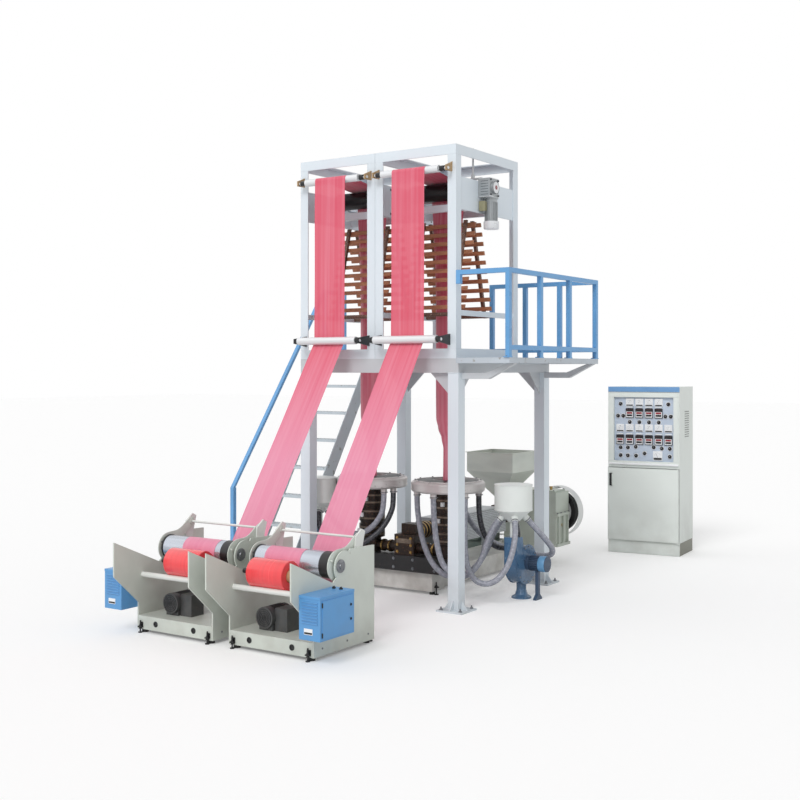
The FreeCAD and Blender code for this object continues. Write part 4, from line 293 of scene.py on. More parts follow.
def around(count, start=0.0):
    """The cosine and sine of each of so many equal steps round a circle, from an angle in degrees."""
    angles = [radians(start + 360 / count * k) for k in range(count)]
    return [(cos(a), sin(a)) for a in angles]


def skin(bm, rows, closed=True, flip=False):
    """Faces between rows of points, right round or from edge to edge."""
    faces = []
    for a, b in zip(rows, rows[1:]):
        for i in range(len(a) if closed else len(a) - 1):
            j = (i + 1) % len(a)
            faces.append(bm.faces.new((a[i], a[j], b[j], b[i]) if flip else (a[i], b[i], b[j], a[j])))
    return faces


def sweep(bm, points, radii, steps):
    """A closed tube along a line: a ring round each point, carried on without twist."""
    turns = [2 * pi * k / steps for k in range(steps)]
    rows = []
    side = None
    for i, (p, r) in enumerate(zip(points, radii)):
        ahead = (points[min(i + 1, len(points) - 1)] - points[max(i - 1, 0)]).normalized()
        side = ahead.orthogonal().normalized() if side is None else (side - ahead * side.dot(ahead)).normalized()
        other = ahead.cross(side)
        rows.append([bm.verts.new(p + (side * cos(t) + other * sin(t)) * r) for t in turns])
    faces = skin(bm, rows) + [bm.faces.new(rows[0]), bm.faces.new(rows[-1][::-1])]
    bmesh.ops.recalc_face_normals(bm, faces=faces)


def dress(name, bm, mat, body, replaces=(), sharp=False):
    """Makes a smooth piece of a bmesh, with its material, body and the nodes that it stands for."""
    mesh = bpy.data.meshes.new(name)
    bm.to_mesh(mesh)
    bm.free()
    for face in mesh.polygons:
        face.use_smooth = True
    if sharp:
        mesh.set_sharp_from_angle(angle=SHARP)
    thing = bpy.data.objects.new(name, mesh)
    bpy.context.scene.collection.objects.link(thing)
    mesh.materials.append(MATS[mat])
    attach(thing, body)
    if replaces:
        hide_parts(*replaces)
    return thing


class Build:
    """Gathers simple solids into one mesh with softened edges."""

    def __init__(self, name, mat="bolt_steel", slot="steel_bare", body=BASE):
        self.name, self.mat, self.body, self.slot = name, mat, body, slot
        self.bm = bmesh.new()

    def _soften(self, faces, width, steps=2):
        if width <= 0:
            return
        edges = {e for f in faces for e in f.edges if len(e.link_faces) == 2
                 and e.calc_face_angle(0) > radians(35)}
        bmesh.ops.bevel(self.bm, geom=list(edges), offset=width, segments=steps, profile=0.7, affect="EDGES",
                        clamp_overlap=True)

    def box(self, lo, hi, bevel=0.0015, turn=None, about=(0, 0, 0)):
        lo, hi = Vector(lo), Vector(hi)
        made = bmesh.ops.create_cube(self.bm, size=1.0)
        for v in made["verts"]:
            v.co = Vector((lo[i] + (v.co[i] + 0.5) * (hi[i] - lo[i]) for i in range(3)))
        faces = {f for v in made["verts"] for f in v.link_faces}
        if turn is not None:
            bmesh.ops.rotate(self.bm, verts=made["verts"], cent=about, matrix=turn)
        self._soften(faces, min(bevel, 0.3 * min(abs(h - l) for l, h in zip(lo, hi))))
        return self

    def prism(self, outline, axis, lo, hi, bevel=0.0015):
        """A plate with this outline in the other two axes, from lo to hi along axis."""
        others = [i for i in range(3) if i != axis]
        rows = []
        for level in (lo, hi):
            row = []
            for a, b in outline:
                co = [0.0, 0.0, 0.0]
                co[axis], co[others[0]], co[others[1]] = level, a, b
                row.append(self.bm.verts.new(co))
            rows.append(row)
        count = len(outline)
        faces = [self.bm.faces.new(rows[0]), self.bm.faces.new(rows[1][::-1])]
        for i in range(count):
            j = (i + 1) % count
            faces.append(self.bm.faces.new((rows[0][i], rows[1][i], rows[1][j], rows[0][j])))
        bmesh.ops.recalc_face_normals(self.bm, faces=faces)
        self._soften(faces, bevel)
        return self

    def lathe(self, profile, origin, axis, steps=32, close=False):
        """Turns (radius, height) points about an axis through origin."""
        axis = Vector(axis).normalized()
        side = axis.orthogonal().normalized()
        other = axis.cross(side)
        origin = Vector(origin)
        rings = []
        for r, h in profile:
            if r <= 1e-6:
                rings.append([self.bm.verts.new(origin + axis * h)])
                continue
            rings.append([self.bm.verts.new(origin + axis * h + (side * cos(t) + other * sin(t)) * r)
                          for t in (2 * pi * i / steps for i in range(steps))])
        pairs = list(zip(rings, rings[1:]))
        if close:
            pairs.append((rings[-1], rings[0]))
        faces = []
        for a, b in pairs:
            for i in range(steps):
                j = (i + 1) % steps
                if len(a) == 1 and len(b) == 1:
                    continue
                if len(a) == 1:
                    faces.append(self.bm.faces.new((a[0], b[i], b[j])))
                elif len(b) == 1:
                    faces.append(self.bm.faces.new((a[i], b[0], a[j])))
                else:
                    faces.append(self.bm.faces.new((a[i], b[i], b[j], a[j])))
        bmesh.ops.recalc_face_normals(self.bm, faces=faces)
        return self

    def rod(self, a, b, r, steps=24, edge=0.0015, r2=None):
        a, b = Vector(a), Vector(b)
        length = (b - a).length
        r2 = r if r2 is None else r2
        edge = min(edge, r * 0.3, r2 * 0.3 if r2 else r * 0.3, length * 0.3)
        return self.lathe([(0, 0), (r - edge, 0), (r, edge), (r2, length - edge), (max(0.0, r2 - edge), length), (0, length)],
                          a, b - a, steps)

    def ring(self, centre, axis, outer, inner, low, high, steps=48, edge=0.001):
        return self.lathe([(inner, low), (outer - edge, low), (outer, low + edge), (outer, high - edge),
                           (outer - edge, high), (inner, high)], centre, axis, steps, close=True)

    def bolt(self, at, axis, r=0.009, h=0.007, washer=True):
        """A hexagon head on a washer."""
        axis = Vector(axis).normalized()
        at = Vector(at)
        if washer:
            self.lathe([(0, 0), (r * 1.25, 0), (r * 1.3, h * 0.12), (r * 1.25, h * 0.25), (0, h * 0.25)], at,
                       axis, 14)
        return self.lathe([(0, h * 0.2), (r, h * 0.2), (r, h * 0.9), (r * 0.82, h * 1.1), (0, h * 1.1)], at,
                          axis, 6)

    def tube(self, points, r, steps=10):
        """A bent rod through these points."""
        sweep(self.bm, [Vector(p) for p in points], [r] * len(points), steps)
        return self

    def bolt_ring(self, centre, axis, count, reach, r, h, start=0):
        """Bolts at equal steps round a centre, in the plane across the axis."""
        a, b = [i for i in range(3) if not axis[i]]
        for c, s in around(count, start):
            at = list(centre)
            at[a] += reach * c
            at[b] += reach * s
            self.bolt(at, axis, r, h)
        return self

    def done(self, turn=None, replaces=()):
        if turn is not None:
            bmesh.ops.transform(self.bm, matrix=turn, verts=self.bm.verts)
        return dress(self.name, self.bm, self.mat, self.body, replaces, sharp=True)


# ---------------------------------------------------------------- air hoses
PITCH = 0.0095
SWELL = 0.0009


def route_of(points):
    """The line of a smooth curve with these control points."""
    data = bpy.data.curves.new("route", "CURVE")
    data.dimensions = "3D"
    data.resolution_u = 24
    spline = data.splines.new("NURBS")
    spline.points.add(len(points) - 1)
    for place, point in zip(spline.points, points):
        place.co = (*point, 1)
    spline.order_u = 3
    spline.use_endpoint_u = True
    thing = bpy.data.objects.new("route", data)
    bpy.context.scene.collection.objects.link(thing)
    mesh = bpy.data.meshes.new_from_object(thing)
    line = [v.co.copy() for v in mesh.vertices]
    bpy.data.objects.remove(thing)
    return line


def evenly(line, step):
    """Points at equal steps along a line."""
    out = [line[0]]
    left = step
    for a, b in zip(line, line[1:]):
        length = (b - a).length
        at = 0.0
        while length - at >= left:
            at += left
            out.append(a.lerp(b, at / length))
            left = step
        left -= length - at
    if (out[-1] - line[-1]).length > step * 0.3:
        out.append(line[-1])
    return out


def hose(name, points):
    """A wire-ribbed air hose: a soft wall that swells over each turn of its wire."""
    path = evenly(route_of(points), PITCH / 4)
    bm = bmesh.new()
    sweep(bm, path, [HOSE / 2 - SWELL + SWELL * cos(pi * i / 2) for i in range(len(path))], 18)
    mat = "hose_dark" if name in ("left_2", "right_4") else "hose_grey"
    thing = dress("hose_" + name, bm, mat, BASE, ["air_hose_" + name])


for name, points in HOSES.items():
    hose(name, points)

# ---------------------------------------------------------------- film
NIP_Y, NIP_Z = -0.364, 3.453
FAN_Z = 0.305
ROLLERS = ((NIP_Y, NIP_Z, 0.075, 1), (-0.875, 3.560, 0.030, 1), (-0.949, 2.190, 0.032, -1), (-2.110, 0.440, 0.030, -1),
       (-2.420, 0.600, 0.090, 1))
GAP = 0.0015
WEB = 0.320


def film_line():
    """The line in the YZ plane that the film takes from the nip over every roller to the winding drum."""
    circles = [(BAY_Y, 3.373, 0.0, 0)] + [(y, z, r + GAP, t) for y, z, r, t in ROLLERS]
    last = radians(196)
    y, z, r, t = circles[-1]
    circles.append((y + r * cos(last) - 0.002 * sin(last), z + r * sin(last) + 0.002 * cos(last), 0.0, 0))
    spans = []
    for (y0, z0, r0, t0), (y1, z1, r1, t1) in zip(circles, circles[1:]):
        reach = hypot(y1 - y0, z1 - z0)
        heading = atan2(z1 - z0, y1 - y0) - asin((t1 * r1 - t0 * r0) / reach)
        across = (-sin(heading), cos(heading))
        spans.append((heading, (y0 - across[0] * t0 * r0, z0 - across[1] * t0 * r0),
                      (y1 - across[0] * t1 * r1, z1 - across[1] * t1 * r1)))
    line = []
    for i, (heading, leave, enter) in enumerate(spans):
        length = hypot(enter[0] - leave[0], enter[1] - leave[1])
        count = max(2, int(length / 0.04))
        for k in range(count):
            share = k / count
            slack = sin(pi * share)
            line.append((leave[0] + (enter[0] - leave[0]) * share, leave[1] + (enter[1] - leave[1]) * share,
                         heading, slack))
        if i + 1 == len(spans):
            line.append((enter[0], enter[1], heading, 0.0))
            break
        y, z, r, turn = circles[i + 1]
        following = spans[i + 1][0]
        while turn * (following - heading) < 0:
            following += turn * 2 * pi
        count = max(2, int(abs(following - heading) / radians(7)))
        for k in range(count):
            at = heading + (following - heading) * k / count
            line.append((y + sin(at) * turn * r, z - cos(at) * turn * r, at, 0.0))
    return line


LINE = film_line()


def film_web(side):
    columns = 26
    bm = bmesh.new()
    rows = []
    gone = 0.0
    before = LINE[0]
    for y, z, heading, slack in LINE:
        gone += hypot(y - before[0], z - before[1])
        before = (y, z)
        out = (-sin(heading), cos(heading))
        row = []
        for k in range(columns + 1):
            u = k / columns - 0.5
            wave = 0.0011 * sin(u * 21 + gone * 1.3) + 0.0007 * sin(u * 47 - gone * 2.1 + SIGN[side])
            curl = 0.0018 * max(0.0, abs(u) - 0.42) / 0.08 * sin(gone * 5.0 + u)
            push = (wave + curl) * min(1.0, slack * 3)
            narrow = 1 - 0.006 * slack
            row.append(bm.verts.new((BAY_X[side] + u * WEB * narrow, y + out[0] * push, z + out[1] * push)))
        rows.append(row)
    skin(bm, rows, closed=False, flip=True)
    thing = dress("film_web_" + side, bm, "film_pink", BASE, ["film_webs"])


def film_bubble(side):
    """The blown tube: a narrow neck over the die, the full bubble, and the flat fold between the slats."""
    bm = bmesh.new()
    steps = 48
    rows = []
    keys = ((0.985, 0.044, 0.044), (1.12, 0.041, 0.041), (1.27, 0.040, 0.040), (1.36, 0.056, 0.056),
            (1.44, 0.084, 0.084), (1.53, 0.102, 0.102), (1.70, 0.104, 0.104), (2.40, 0.104, 0.104),
            (2.52, 0.105, 0.098), (2.80, 0.122, 0.068), (3.10, 0.142, 0.034), (3.30, 0.156, 0.010), (3.372, 0.160, 0.003))
    count = 110
    for i in range(count + 1):
        z = keys[0][0] + (keys[-1][0] - keys[0][0]) * i / count
        for low, high in zip(keys, keys[1:]):
            if low[0] <= z <= high[0] + 1e-9:
                t = (z - low[0]) / (high[0] - low[0])
                break
        t = t * t * (3 - 2 * t) if low[0] < 1.7 else t
        wide = low[1] + (high[1] - low[1]) * t
        deep = low[2] + (high[2] - low[2]) * t
        row = []
        for k in range(steps):
            a = 2 * pi * k / steps
            ripple = 1 - 0.004 * (1 + sin(5 * a + z * 6)) * min(1.0, max(0.0, (z - 1.4) * 2))
            row.append(bm.verts.new((BAY_X[side] + wide * ripple * cos(a), BAY_Y + deep * ripple * sin(a), z)))
        rows.append(row)
    skin(bm, rows, flip=True)
    dress("film_bubble_" + side, bm, "film_bubble", BASE, ["film_bubbles"])


for side in BAY_X:
    film_web(side)
    film_bubble(side)

# ---------------------------------------------------------------- winders
def lobe(big, big_r, small, small_r, waist=0.030, steps=22):
    """The outline of a cheek: a wide round at one end, a small one at the other and a waist between them."""
    reach = hypot(small[0] - big[0], small[1] - big[1])
    heading = atan2(small[1] - big[1], small[0] - big[0])
    lean = acos((big_r - small_r) / reach)

    def arc(centre, r, start, sweep):
        return [(centre[0] + r * cos(start + sweep * k / steps), centre[1] + r * sin(start + sweep * k / steps))
                for k in range(steps + 1)]

    def side(start, end, facing):
        line = []
        for k in range(1, 9):
            t = k / 9
            dent = waist * sin(pi * t) ** 2
            line.append((start[0] + (end[0] - start[0]) * t - dent * cos(facing),
                         start[1] + (end[1] - start[1]) * t - dent * sin(facing)))
        return line

    round_end = arc(big, big_r, heading + lean, 2 * pi - 2 * lean)
    tip = arc(small, small_r, heading - lean, 2 * lean)
    return round_end + side(round_end[-1], tip[0], heading - lean) + tip + side(tip[-1], round_end[0],
                                                                                heading + lean)


ROLL_Y, ROLL_Z = -2.6063, 0.530
ROD_Y, ROD_Z = -2.170, 0.765
DRUM_Y, DRUM_Z = -2.420, 0.600
X, Y, Z = Vector((1, 0, 0)), Vector((0, 1, 0)), Vector((0, 0, 1))
for side, s in SIGN.items():
    wx, fx = WINDER_X[side], BAY_X[side]
    roll, node = "roll_" + side, "film_roll_" + side
    wound = Build("wound_film_" + side, "film_roll_red", "film_roll_red", roll)
    turns = [(0.047, -0.158), (0.060, -0.1592)]
    turns += [(0.060 + 0.0405 * i / 6, -0.1592 - 0.0008 * (i % 2)) for i in range(1, 7)]
    turns += [(0.1035, -0.1575), (0.104, -0.155), (0.1038, 0.0), (0.104, 0.155), (0.1035, 0.1575)]
    turns += [(0.1005 - 0.0405 * i / 6, 0.1592 + 0.0008 * (i % 2)) for i in range(0, 7)] + [(0.047, 0.158)]
    wound.lathe(turns, (fx, ROLL_Y, ROLL_Z), X, 72, close=True).done(replaces=[node])
    core = Build("roll_core_" + side, "roll_core", "film_roll_red", roll)
    core.ring((fx, ROLL_Y, ROLL_Z), X, 0.045, 0.036, -0.189, 0.189, 40, 0.001).done()
    shaft = Build("roll_shaft_" + side, "plastic_black", "film_roll_red", roll)
    shaft.lathe([(0, -0.264), (0.016, -0.264), (0.018, -0.262), (0.018, -0.215), (0.0224, -0.213), (0.0224, -0.192),
                 (0.034, -0.190), (0.034, -0.186), (0.020, -0.184), (0.020, 0.184), (0.034, 0.186), (0.034,
                                                                                                     0.190),
                 (0.0224, 0.192), (0.0224, 0.213), (0.018, 0.215), (0.018, 0.262), (0.016, 0.264), (0, 0.264)],
                (fx, ROLL_Y, ROLL_Z), X, 28).done()
    drum = "drum_" + side
    Build("drum_barrel_" + side, "drum_rubber", "drum_rubber", drum).lathe([(0, -0.3195), (0.086, -0.3195), (0.0895, -0.317), (0.0895, -0.285), (0.0900, -0.283), (0.0900, 0.283),
                  (0.0895, 0.285), (0.0895, 0.317), (0.086, 0.3195), (0, 0.3195)], (wx, DRUM_Y, DRUM_Z), X, 64).done(replaces=["winder_drum_" + side])
    discs = Build("drum_discs_" + side, "plastic_black", "drum_rubber", drum)
    discs.ring((wx, DRUM_Y, DRUM_Z), X, 0.0939, 0.0897, 0.258, 0.3215, 64, 0.0012)
    axle = Build("drum_axle_" + side, "bolt_steel", "drum_rubber", drum)
    for end in (-1, 1):
        discs.lathe([(0.012, 0.320), (0.090, 0.320), (0.0938, 0.322), (0.0938, 0.331), (0.090, 0.3338), (0.060, 0.3338),
                     (0.056, 0.331), (0.026, 0.331), (0.022, 0.3338), (0.012, 0.3338)],
                    (wx, DRUM_Y, DRUM_Z), X * end, 56)
        axle.rod((wx + end * 0.3195, DRUM_Y, DRUM_Z), (wx + end * 0.3775, DRUM_Y, DRUM_Z), 0.0119, 24)
        axle.bolt_ring((wx + end * 0.331, DRUM_Y, DRUM_Z), X * end, 6, 0.041, 0.005, 0.004)
    discs.done()
    axle.done()
    hubs = Build("bearing_hubs_" + side)
    cheeks = Build("drum_cheeks_" + side, "winder_paint", "winder_paint")
    bolts = Build("winder_bolts_" + side)
    for end in (-1, 1):
        face = wx + end * 0.366
        inner = sorted((face - end * 0.014, face - end * 0.022))
        cheeks.prism(lobe((DRUM_Y, DRUM_Z), 0.108, (ROD_Y - 0.004, ROD_Z), 0.034), 0, inner[0], inner[1],
                     0.0028)
        cheeks.lathe([(0.010, 0.0), (0.022, 0.0), (0.024, -0.003), (0.024, -0.012), (0.010, -0.012)],
                     (face - end * 0.016, ROD_Y, ROD_Z), X * end, 28, close=True)
        for c, s2 in around(3, 30):
            y, z = DRUM_Y + 0.085 * c, DRUM_Z + 0.085 * s2
            cheeks.rod((face - end * 0.0145, y, z), (face, y, z), 0.008, 12)
            bolts.bolt((face - end * 0.022, y, z), -X * end, 0.006, 0.004)
        outside = wx + end * 0.378
        hubs.lathe([(0.0125, 0.0), (0.044, 0.0), (0.046, 0.002), (0.046, 0.008), (0.042, 0.010), (0.024, 0.012),
                    (0.022, 0.017), (0.0, 0.017)], (outside, DRUM_Y, DRUM_Z), X * end, 36)
        bolts.bolt_ring((outside + end * 0.009, DRUM_Y, DRUM_Z), X * end, 4, 0.034, 0.0055, 0.005, 45)
        for y in (-2.62, -2.34, -2.09):
            bolts.bolt((outside, y, 0.075), X * end, 0.006, 0.004)
        feet = Build("levelling_screws_%s_%d" % (side, end), "plastic_black", "foot_rubber")
        for y, way in ((-2.711, -1), (-2.015, 1)):
            at = wx + end * 0.335
            feet.box((at - 0.018, min(y, y + way * 0.024), 0.040), (at + 0.018, max(y, y + way * 0.024), 0.050),
                     0.002)
            feet.box((at - 0.018, min(y, y + way * 0.004), 0.040), (at + 0.018, max(y, y + way * 0.004), 0.078),
                     0.001)
            feet.rod((at, y + way * 0.013, 0.004), (at, y + way * 0.013, 0.092), 0.0055, 12)
            feet.rod((at, y + way * 0.013, 0.0), (at, y + way * 0.013, 0.008), 0.016, 20)
            feet.bolt((at, y + way * 0.013, 0.050), Z, 0.010, 0.009)
            feet.bolt((at, y + way * 0.013, 0.030), Z, 0.010, 0.009)
        feet.done()
    hubs.done()
    cheeks.done()
    bolts.done()
    lip = Build("tray_grommets_" + side, "foot_rubber", "foot_rubber")
    for i in (-1, 1):
        lip.lathe([(0.0, -0.0035), (0.0165, -0.0035), (0.0172, 0.0006), (0.0215, 0.0006), (0.0215, 0.0028), (0.0155, 0.0028),
                   (0.0145, -0.0015), (0.0, -0.0015)], (wx + i * 0.189, -2.711, 0.075), -Y, 32, close=True)
    lip.done()

    # control box
    out = 0.8305 * s
    edge = 1.0055 * s
    low, high = min(out, edge), max(out, edge)
    lid = Build("control_box_lid_" + side, "box_blue", "box_blue")
    lid.box((low - 0.001, -2.874, 0.455), (high + 0.001, -2.496, 0.4745), 0.004)
    lid.box((edge - 0.001 * s if s > 0 else edge - 0.006, -2.852, 0.200),
            (edge + 0.006 if s > 0 else edge + 0.001, -2.518, 0.446), 0.003)
    slit = Build("control_box_slits_" + side, "stripe_blue", "box_blue")
    for i in range(8):
        z = 0.440 - i * 0.0195
        for y, way in ((-2.8700, -1), (-2.5000, 1)):
            lid.prism([(y, z), (y + way * 0.0068, z - 0.0085), (y + way * 0.0068, z - 0.0095), (y, z - 0.0095)], 0,
                      low + 0.022, high - 0.022, 0.0)
            edges = sorted((y, y + way * 0.0012))
            slit.box((low + 0.024, edges[0], z - 0.0125), (high - 0.024, edges[1], z - 0.0096), 0.0)
    slit.done()
    lid.done()
    trim = Build("control_box_trim_" + side, "plastic_black", "foot_rubber")
    tag = Build("control_box_plate_" + side, "plastic_white", "winder_paint")
    tag.box((low + 0.042, -2.8725, 0.222), (low + 0.112, -2.8702, 0.262), 0.001)
    trim.box((low + 0.045, -2.8732, 0.226), (low + 0.109, -2.8724, 0.238), 0.0003)
    latch = edge + 0.006 * s
    for z in (0.285, 0.380):
        trim.rod((latch, -2.545, z), (latch + 0.005 * s, -2.545, z), 0.009, 20)
        trim.box((min(latch, latch + 0.008 * s), -2.548, z - 0.006),
                 (max(latch, latch + 0.008 * s), -2.542, z + 0.006), 0.0006)
    for z in (0.225, 0.420):
        trim.rod((latch - 0.002 * s, -2.852, z - 0.016), (latch - 0.002 * s, -2.852, z + 0.016), 0.0045, 14)
    for x, y in ((low + 0.05, -2.56), (low + 0.11, -2.56)):
        trim.lathe([(0.0, 0.4745), (0.013, 0.4745), (0.013, 0.482), (0.011, 0.484), (0.0, 0.484)], (x, y, 0.0),
                   Z, 24)
        trim.box((x - 0.0015, y - 0.010, 0.483), (x + 0.0015, y + 0.010, 0.491), 0.0005)
    trim.done()
    tag.done()
    fan = Build("take_motor_grille_" + side, "plastic_black", "small_motor")
    mx, mz = wx - 0.150, 0.215
    for r in (0.018, 0.032, 0.046, 0.060):
        fan.ring((mx, -2.601, mz), -Y, r + 0.0028, r - 0.0028, -0.001, 0.003, 36, 0.0006)
    for c, s2 in around(8):
        fan.rod((mx + 0.012 * c, -2.6025, mz + 0.012 * s2), (mx + 0.066 * c, -2.6025, mz + 0.066 * s2), 0.0016,
                8)
    fan.lathe([(0.0, 0.0), (0.012, 0.0), (0.012, 0.003), (0.0, 0.004)], (mx, -2.601, mz), -Y, 24)
    fan.done()

# ---------------------------------------------------------------- tower details
anchors = Build("anchor_bolts")
COLUMNS = [(x, y) for x in (-0.755, 0.755) for y in (-0.755, 0.755)]
for cx, cy in COLUMNS:
    for x, y in [(cx + dx, cy + dy) for dx in (-0.09, 0.09) for dy in (-0.09, 0.09)]:
        anchors.rod((x, y, 0.014), (x, y, 0.040), 0.0065, 12)
        anchors.bolt((x, y, 0.014), Z, 0.0125, 0.011)
anchors.done()
welds = Build("weld_beads", "tower_paint", "tower_paint")


def bead(centre, half, z, r=0.0032):
    """A weld bead round a square tube where it stands on or meets another."""
    corners = [(centre[0] + sx * half, centre[1] + sy * half, z) for sx,
               sy in ((-1, -1), (1, -1), (1, 1), (-1, 1), (-1, -1))]
    line = []
    for start, end in zip(corners, corners[1:]):
        for k in range(9):
            t = k / 9
            line.append(tuple(start[i] + (end[i] - start[i]) * t + random.uniform(-0.0005,
                                                                                  0.0005) for i in range(3)))
    line.append(line[0])
    welds.tube(line, r, 6)


for column in COLUMNS:
    bead(column, 0.0505, 0.0155)
    bead(column, 0.0505, 1.9195)
welds.done()
rail_feet = Build("rail_flanges", "rail_paint", "rail_paint")
rail_bolts = Build("rail_bolts")
for i in range(4):
    y = -0.845 + (0.767 + 0.845) * i / 3
    rail_feet.box((1.242, y - 0.014, 2.0421), (1.2895, y + 0.052, 2.050), 0.001)
    for dy in (-0.006, 0.044):
        rail_bolts.bolt((1.266, y + dy, 2.050), Z, 0.006, 0.005)
for x in (0.202, 0.552, 0.902):
    rail_feet.box((x - 0.014, 0.757, 2.0421), (x + 0.052, 0.8045, 2.050), 0.001)
    for dx in (-0.006, 0.044):
        rail_bolts.bolt((x + dx, 0.781, 2.050), Z, 0.006, 0.005)
rail_feet.done()
rail_bolts.done()
tread = Build("tread_grips", "steel_bare", "stair_paint")
for i in range(1, 8):
    share = i / 8
    y0 = -0.852 + 1.3 * share + 0.025
    z = 2.037 * share + 0.0125
    for k in range(5):
        y = y0 + 0.014 + 0.0235 * k
        for x in range(22):
            cx = -1.478 + x * 0.022
            tilt = 1 if (x + k) % 2 else -1
            tread.prism([(cx - 0.006, y - 0.002 * tilt), (cx, y - 0.0026), (cx + 0.006, y + 0.002 * tilt), (cx, y + 0.0026)],
                        2, z, z + 0.0018, 0.0)
tread.done()
checker = Build("deck_grips", "walk_paint", "walk_paint")
for x0, x1, y0, y1 in ((-1.475, 0.785, 0.262, 0.744), (0.832, 1.235, -0.79, 0.74)):
    nx, ny = int((x1 - x0) / 0.04), int((y1 - y0) / 0.04)
    for i in range(nx):
        for j in range(ny):
            cx, cy = x0 + 0.04 * (i + 0.5), y0 + 0.04 * (j + 0.5)
            a, b = (0.013, 0.003) if (i + j) % 2 else (0.003, 0.013)
            checker.prism([(cx - a, cy), (cx, cy - b), (cx + a, cy), (cx, cy + b)], 2, 2.042, 2.0434, 0.0)
checker.done()

# haul-off details
for side, cx in BAY_X.items():
    hold = Build("nip_bearings_" + side, "motor_grey", "steel_bare")
    pins = Build("nip_bolts_" + side)
    for end in (-1, 1):
        face = cx + end * 0.3785
        for y in (NIP_Y, -0.200):
            hold.lathe([(0.0135, 0.0), (0.052, 0.0), (0.054, 0.002), (0.054, 0.010), (0.050, 0.013), (0.030, 0.016),
                        (0.028, 0.026), (0.0135, 0.026)], (face, y, NIP_Z), X * -end, 36, close=True)
            pins.bolt_ring((face - end * 0.012, y, NIP_Z), X * -end, 4, 0.042, 0.005, 0.005, 45)
        for y in (-0.74, -0.60, 0.05, 0.17):
            for z in (3.275, 3.480):
                pins.bolt((face, y, z), X * -end, 0.008, 0.006)
    hold.done()
    pins.done()
    screws = Build("slat_screws_" + side)
    for sy in (-1, 1):
        for k in range(10):
            z = 2.470 + 0.700 * k / 9
            slope = (0.040 - 0.250) / (3.205 - 2.385)
            y = BAY_Y + sy * (0.250 + (z - 2.390) * slope)
            for sx in (-1, 1):
                at = Vector((cx + sx * 0.210, y + sy * 0.028, z))
                screws.lathe([(0.0, 0.0), (0.0055, 0.0), (0.005, 0.0022), (0.0, 0.003)], at, (0, sy, 0.2), 10)
    screws.done()
    caps = Build("roller_caps_" + side, "plastic_black", "foot_rubber")
    for end in (-1, 1):
        caps.ring((cx, -0.875, 3.560), X * end, 0.022, 0.0128, 0.290, 0.332, 28, 0.001)
        caps.ring((cx, -0.949, 2.190), X * end, 0.026, 0.0128, 0.3075, 0.3265, 28, 0.001)
    caps.done()
silver = Build("worm_cap", "roller_alu", "steel_bare")
silver.lathe([(0.018, 0.0), (0.046, 0.0), (0.050, -0.003), (0.050, -0.010), (0.018, -0.010)], (0.9055, NIP_Y, NIP_Z), X, 44,
             close=True)
for z in (3.3785, 3.5275):
    silver.box((0.779, -0.4385, z - 0.0035), (0.8895, -0.2895, z + 0.0035), 0.002)
silver.lathe([(0.0645, 0.0), (0.0645, 0.055), (0.060, 0.063), (0.0, 0.063)], (0.847, -0.344, 3.176), -Z, 44)
silver.done()
# The six dark lines across each side face of the worm housing are painted shade of grooves; the dark ring round the cap
# is a seam.
dark = Build("worm_seam_and_groove_shade", "motor_dark", "steel_bare")
dark.ring((0.9040, NIP_Y, NIP_Z), X, 0.0525, 0.0505, -0.002, 0.001, 44, 0.0005)
# Painted groove shade on the housing's side faces.
for y in (-0.4395, -0.2895):
    for z in (3.395, 3.417, 3.439, 3.461, 3.483, 3.505):
        dark.box((0.800, y - 0.0008, z - 0.002), (0.870, y + 0.0008, z + 0.002), 0.0004)
for sx, sy in ((-1, -1), (1, -1), (-1, 1), (1, 1)):
    dark.bolt((0.8895, NIP_Y + sy * 0.062, NIP_Z + sx * 0.062), X, 0.007, 0.006)
dark.done()
Build("worm_shaft_end", "display_red", "steel_bare").lathe([(0.0, 0.0), (0.017, 0.0), (0.017, 0.003),
                                                            (0.0, 0.004)], (0.9045, NIP_Y, NIP_Z), X, 32).done()
olive = Build("motor_terminal_box", "olive_paint", "steel_bare")
olive.box((0.782, -0.4300, 3.262), (0.836, -0.3850, 3.338), 0.004)
olive.box((0.780, -0.4345, 3.258), (0.838, -0.4295, 3.342), 0.002)
olive.done()
Build("worm_bolts").bolt_ring((0.8995, NIP_Y, NIP_Z), X, 6, 0.042, 0.005, 0.0045).done()

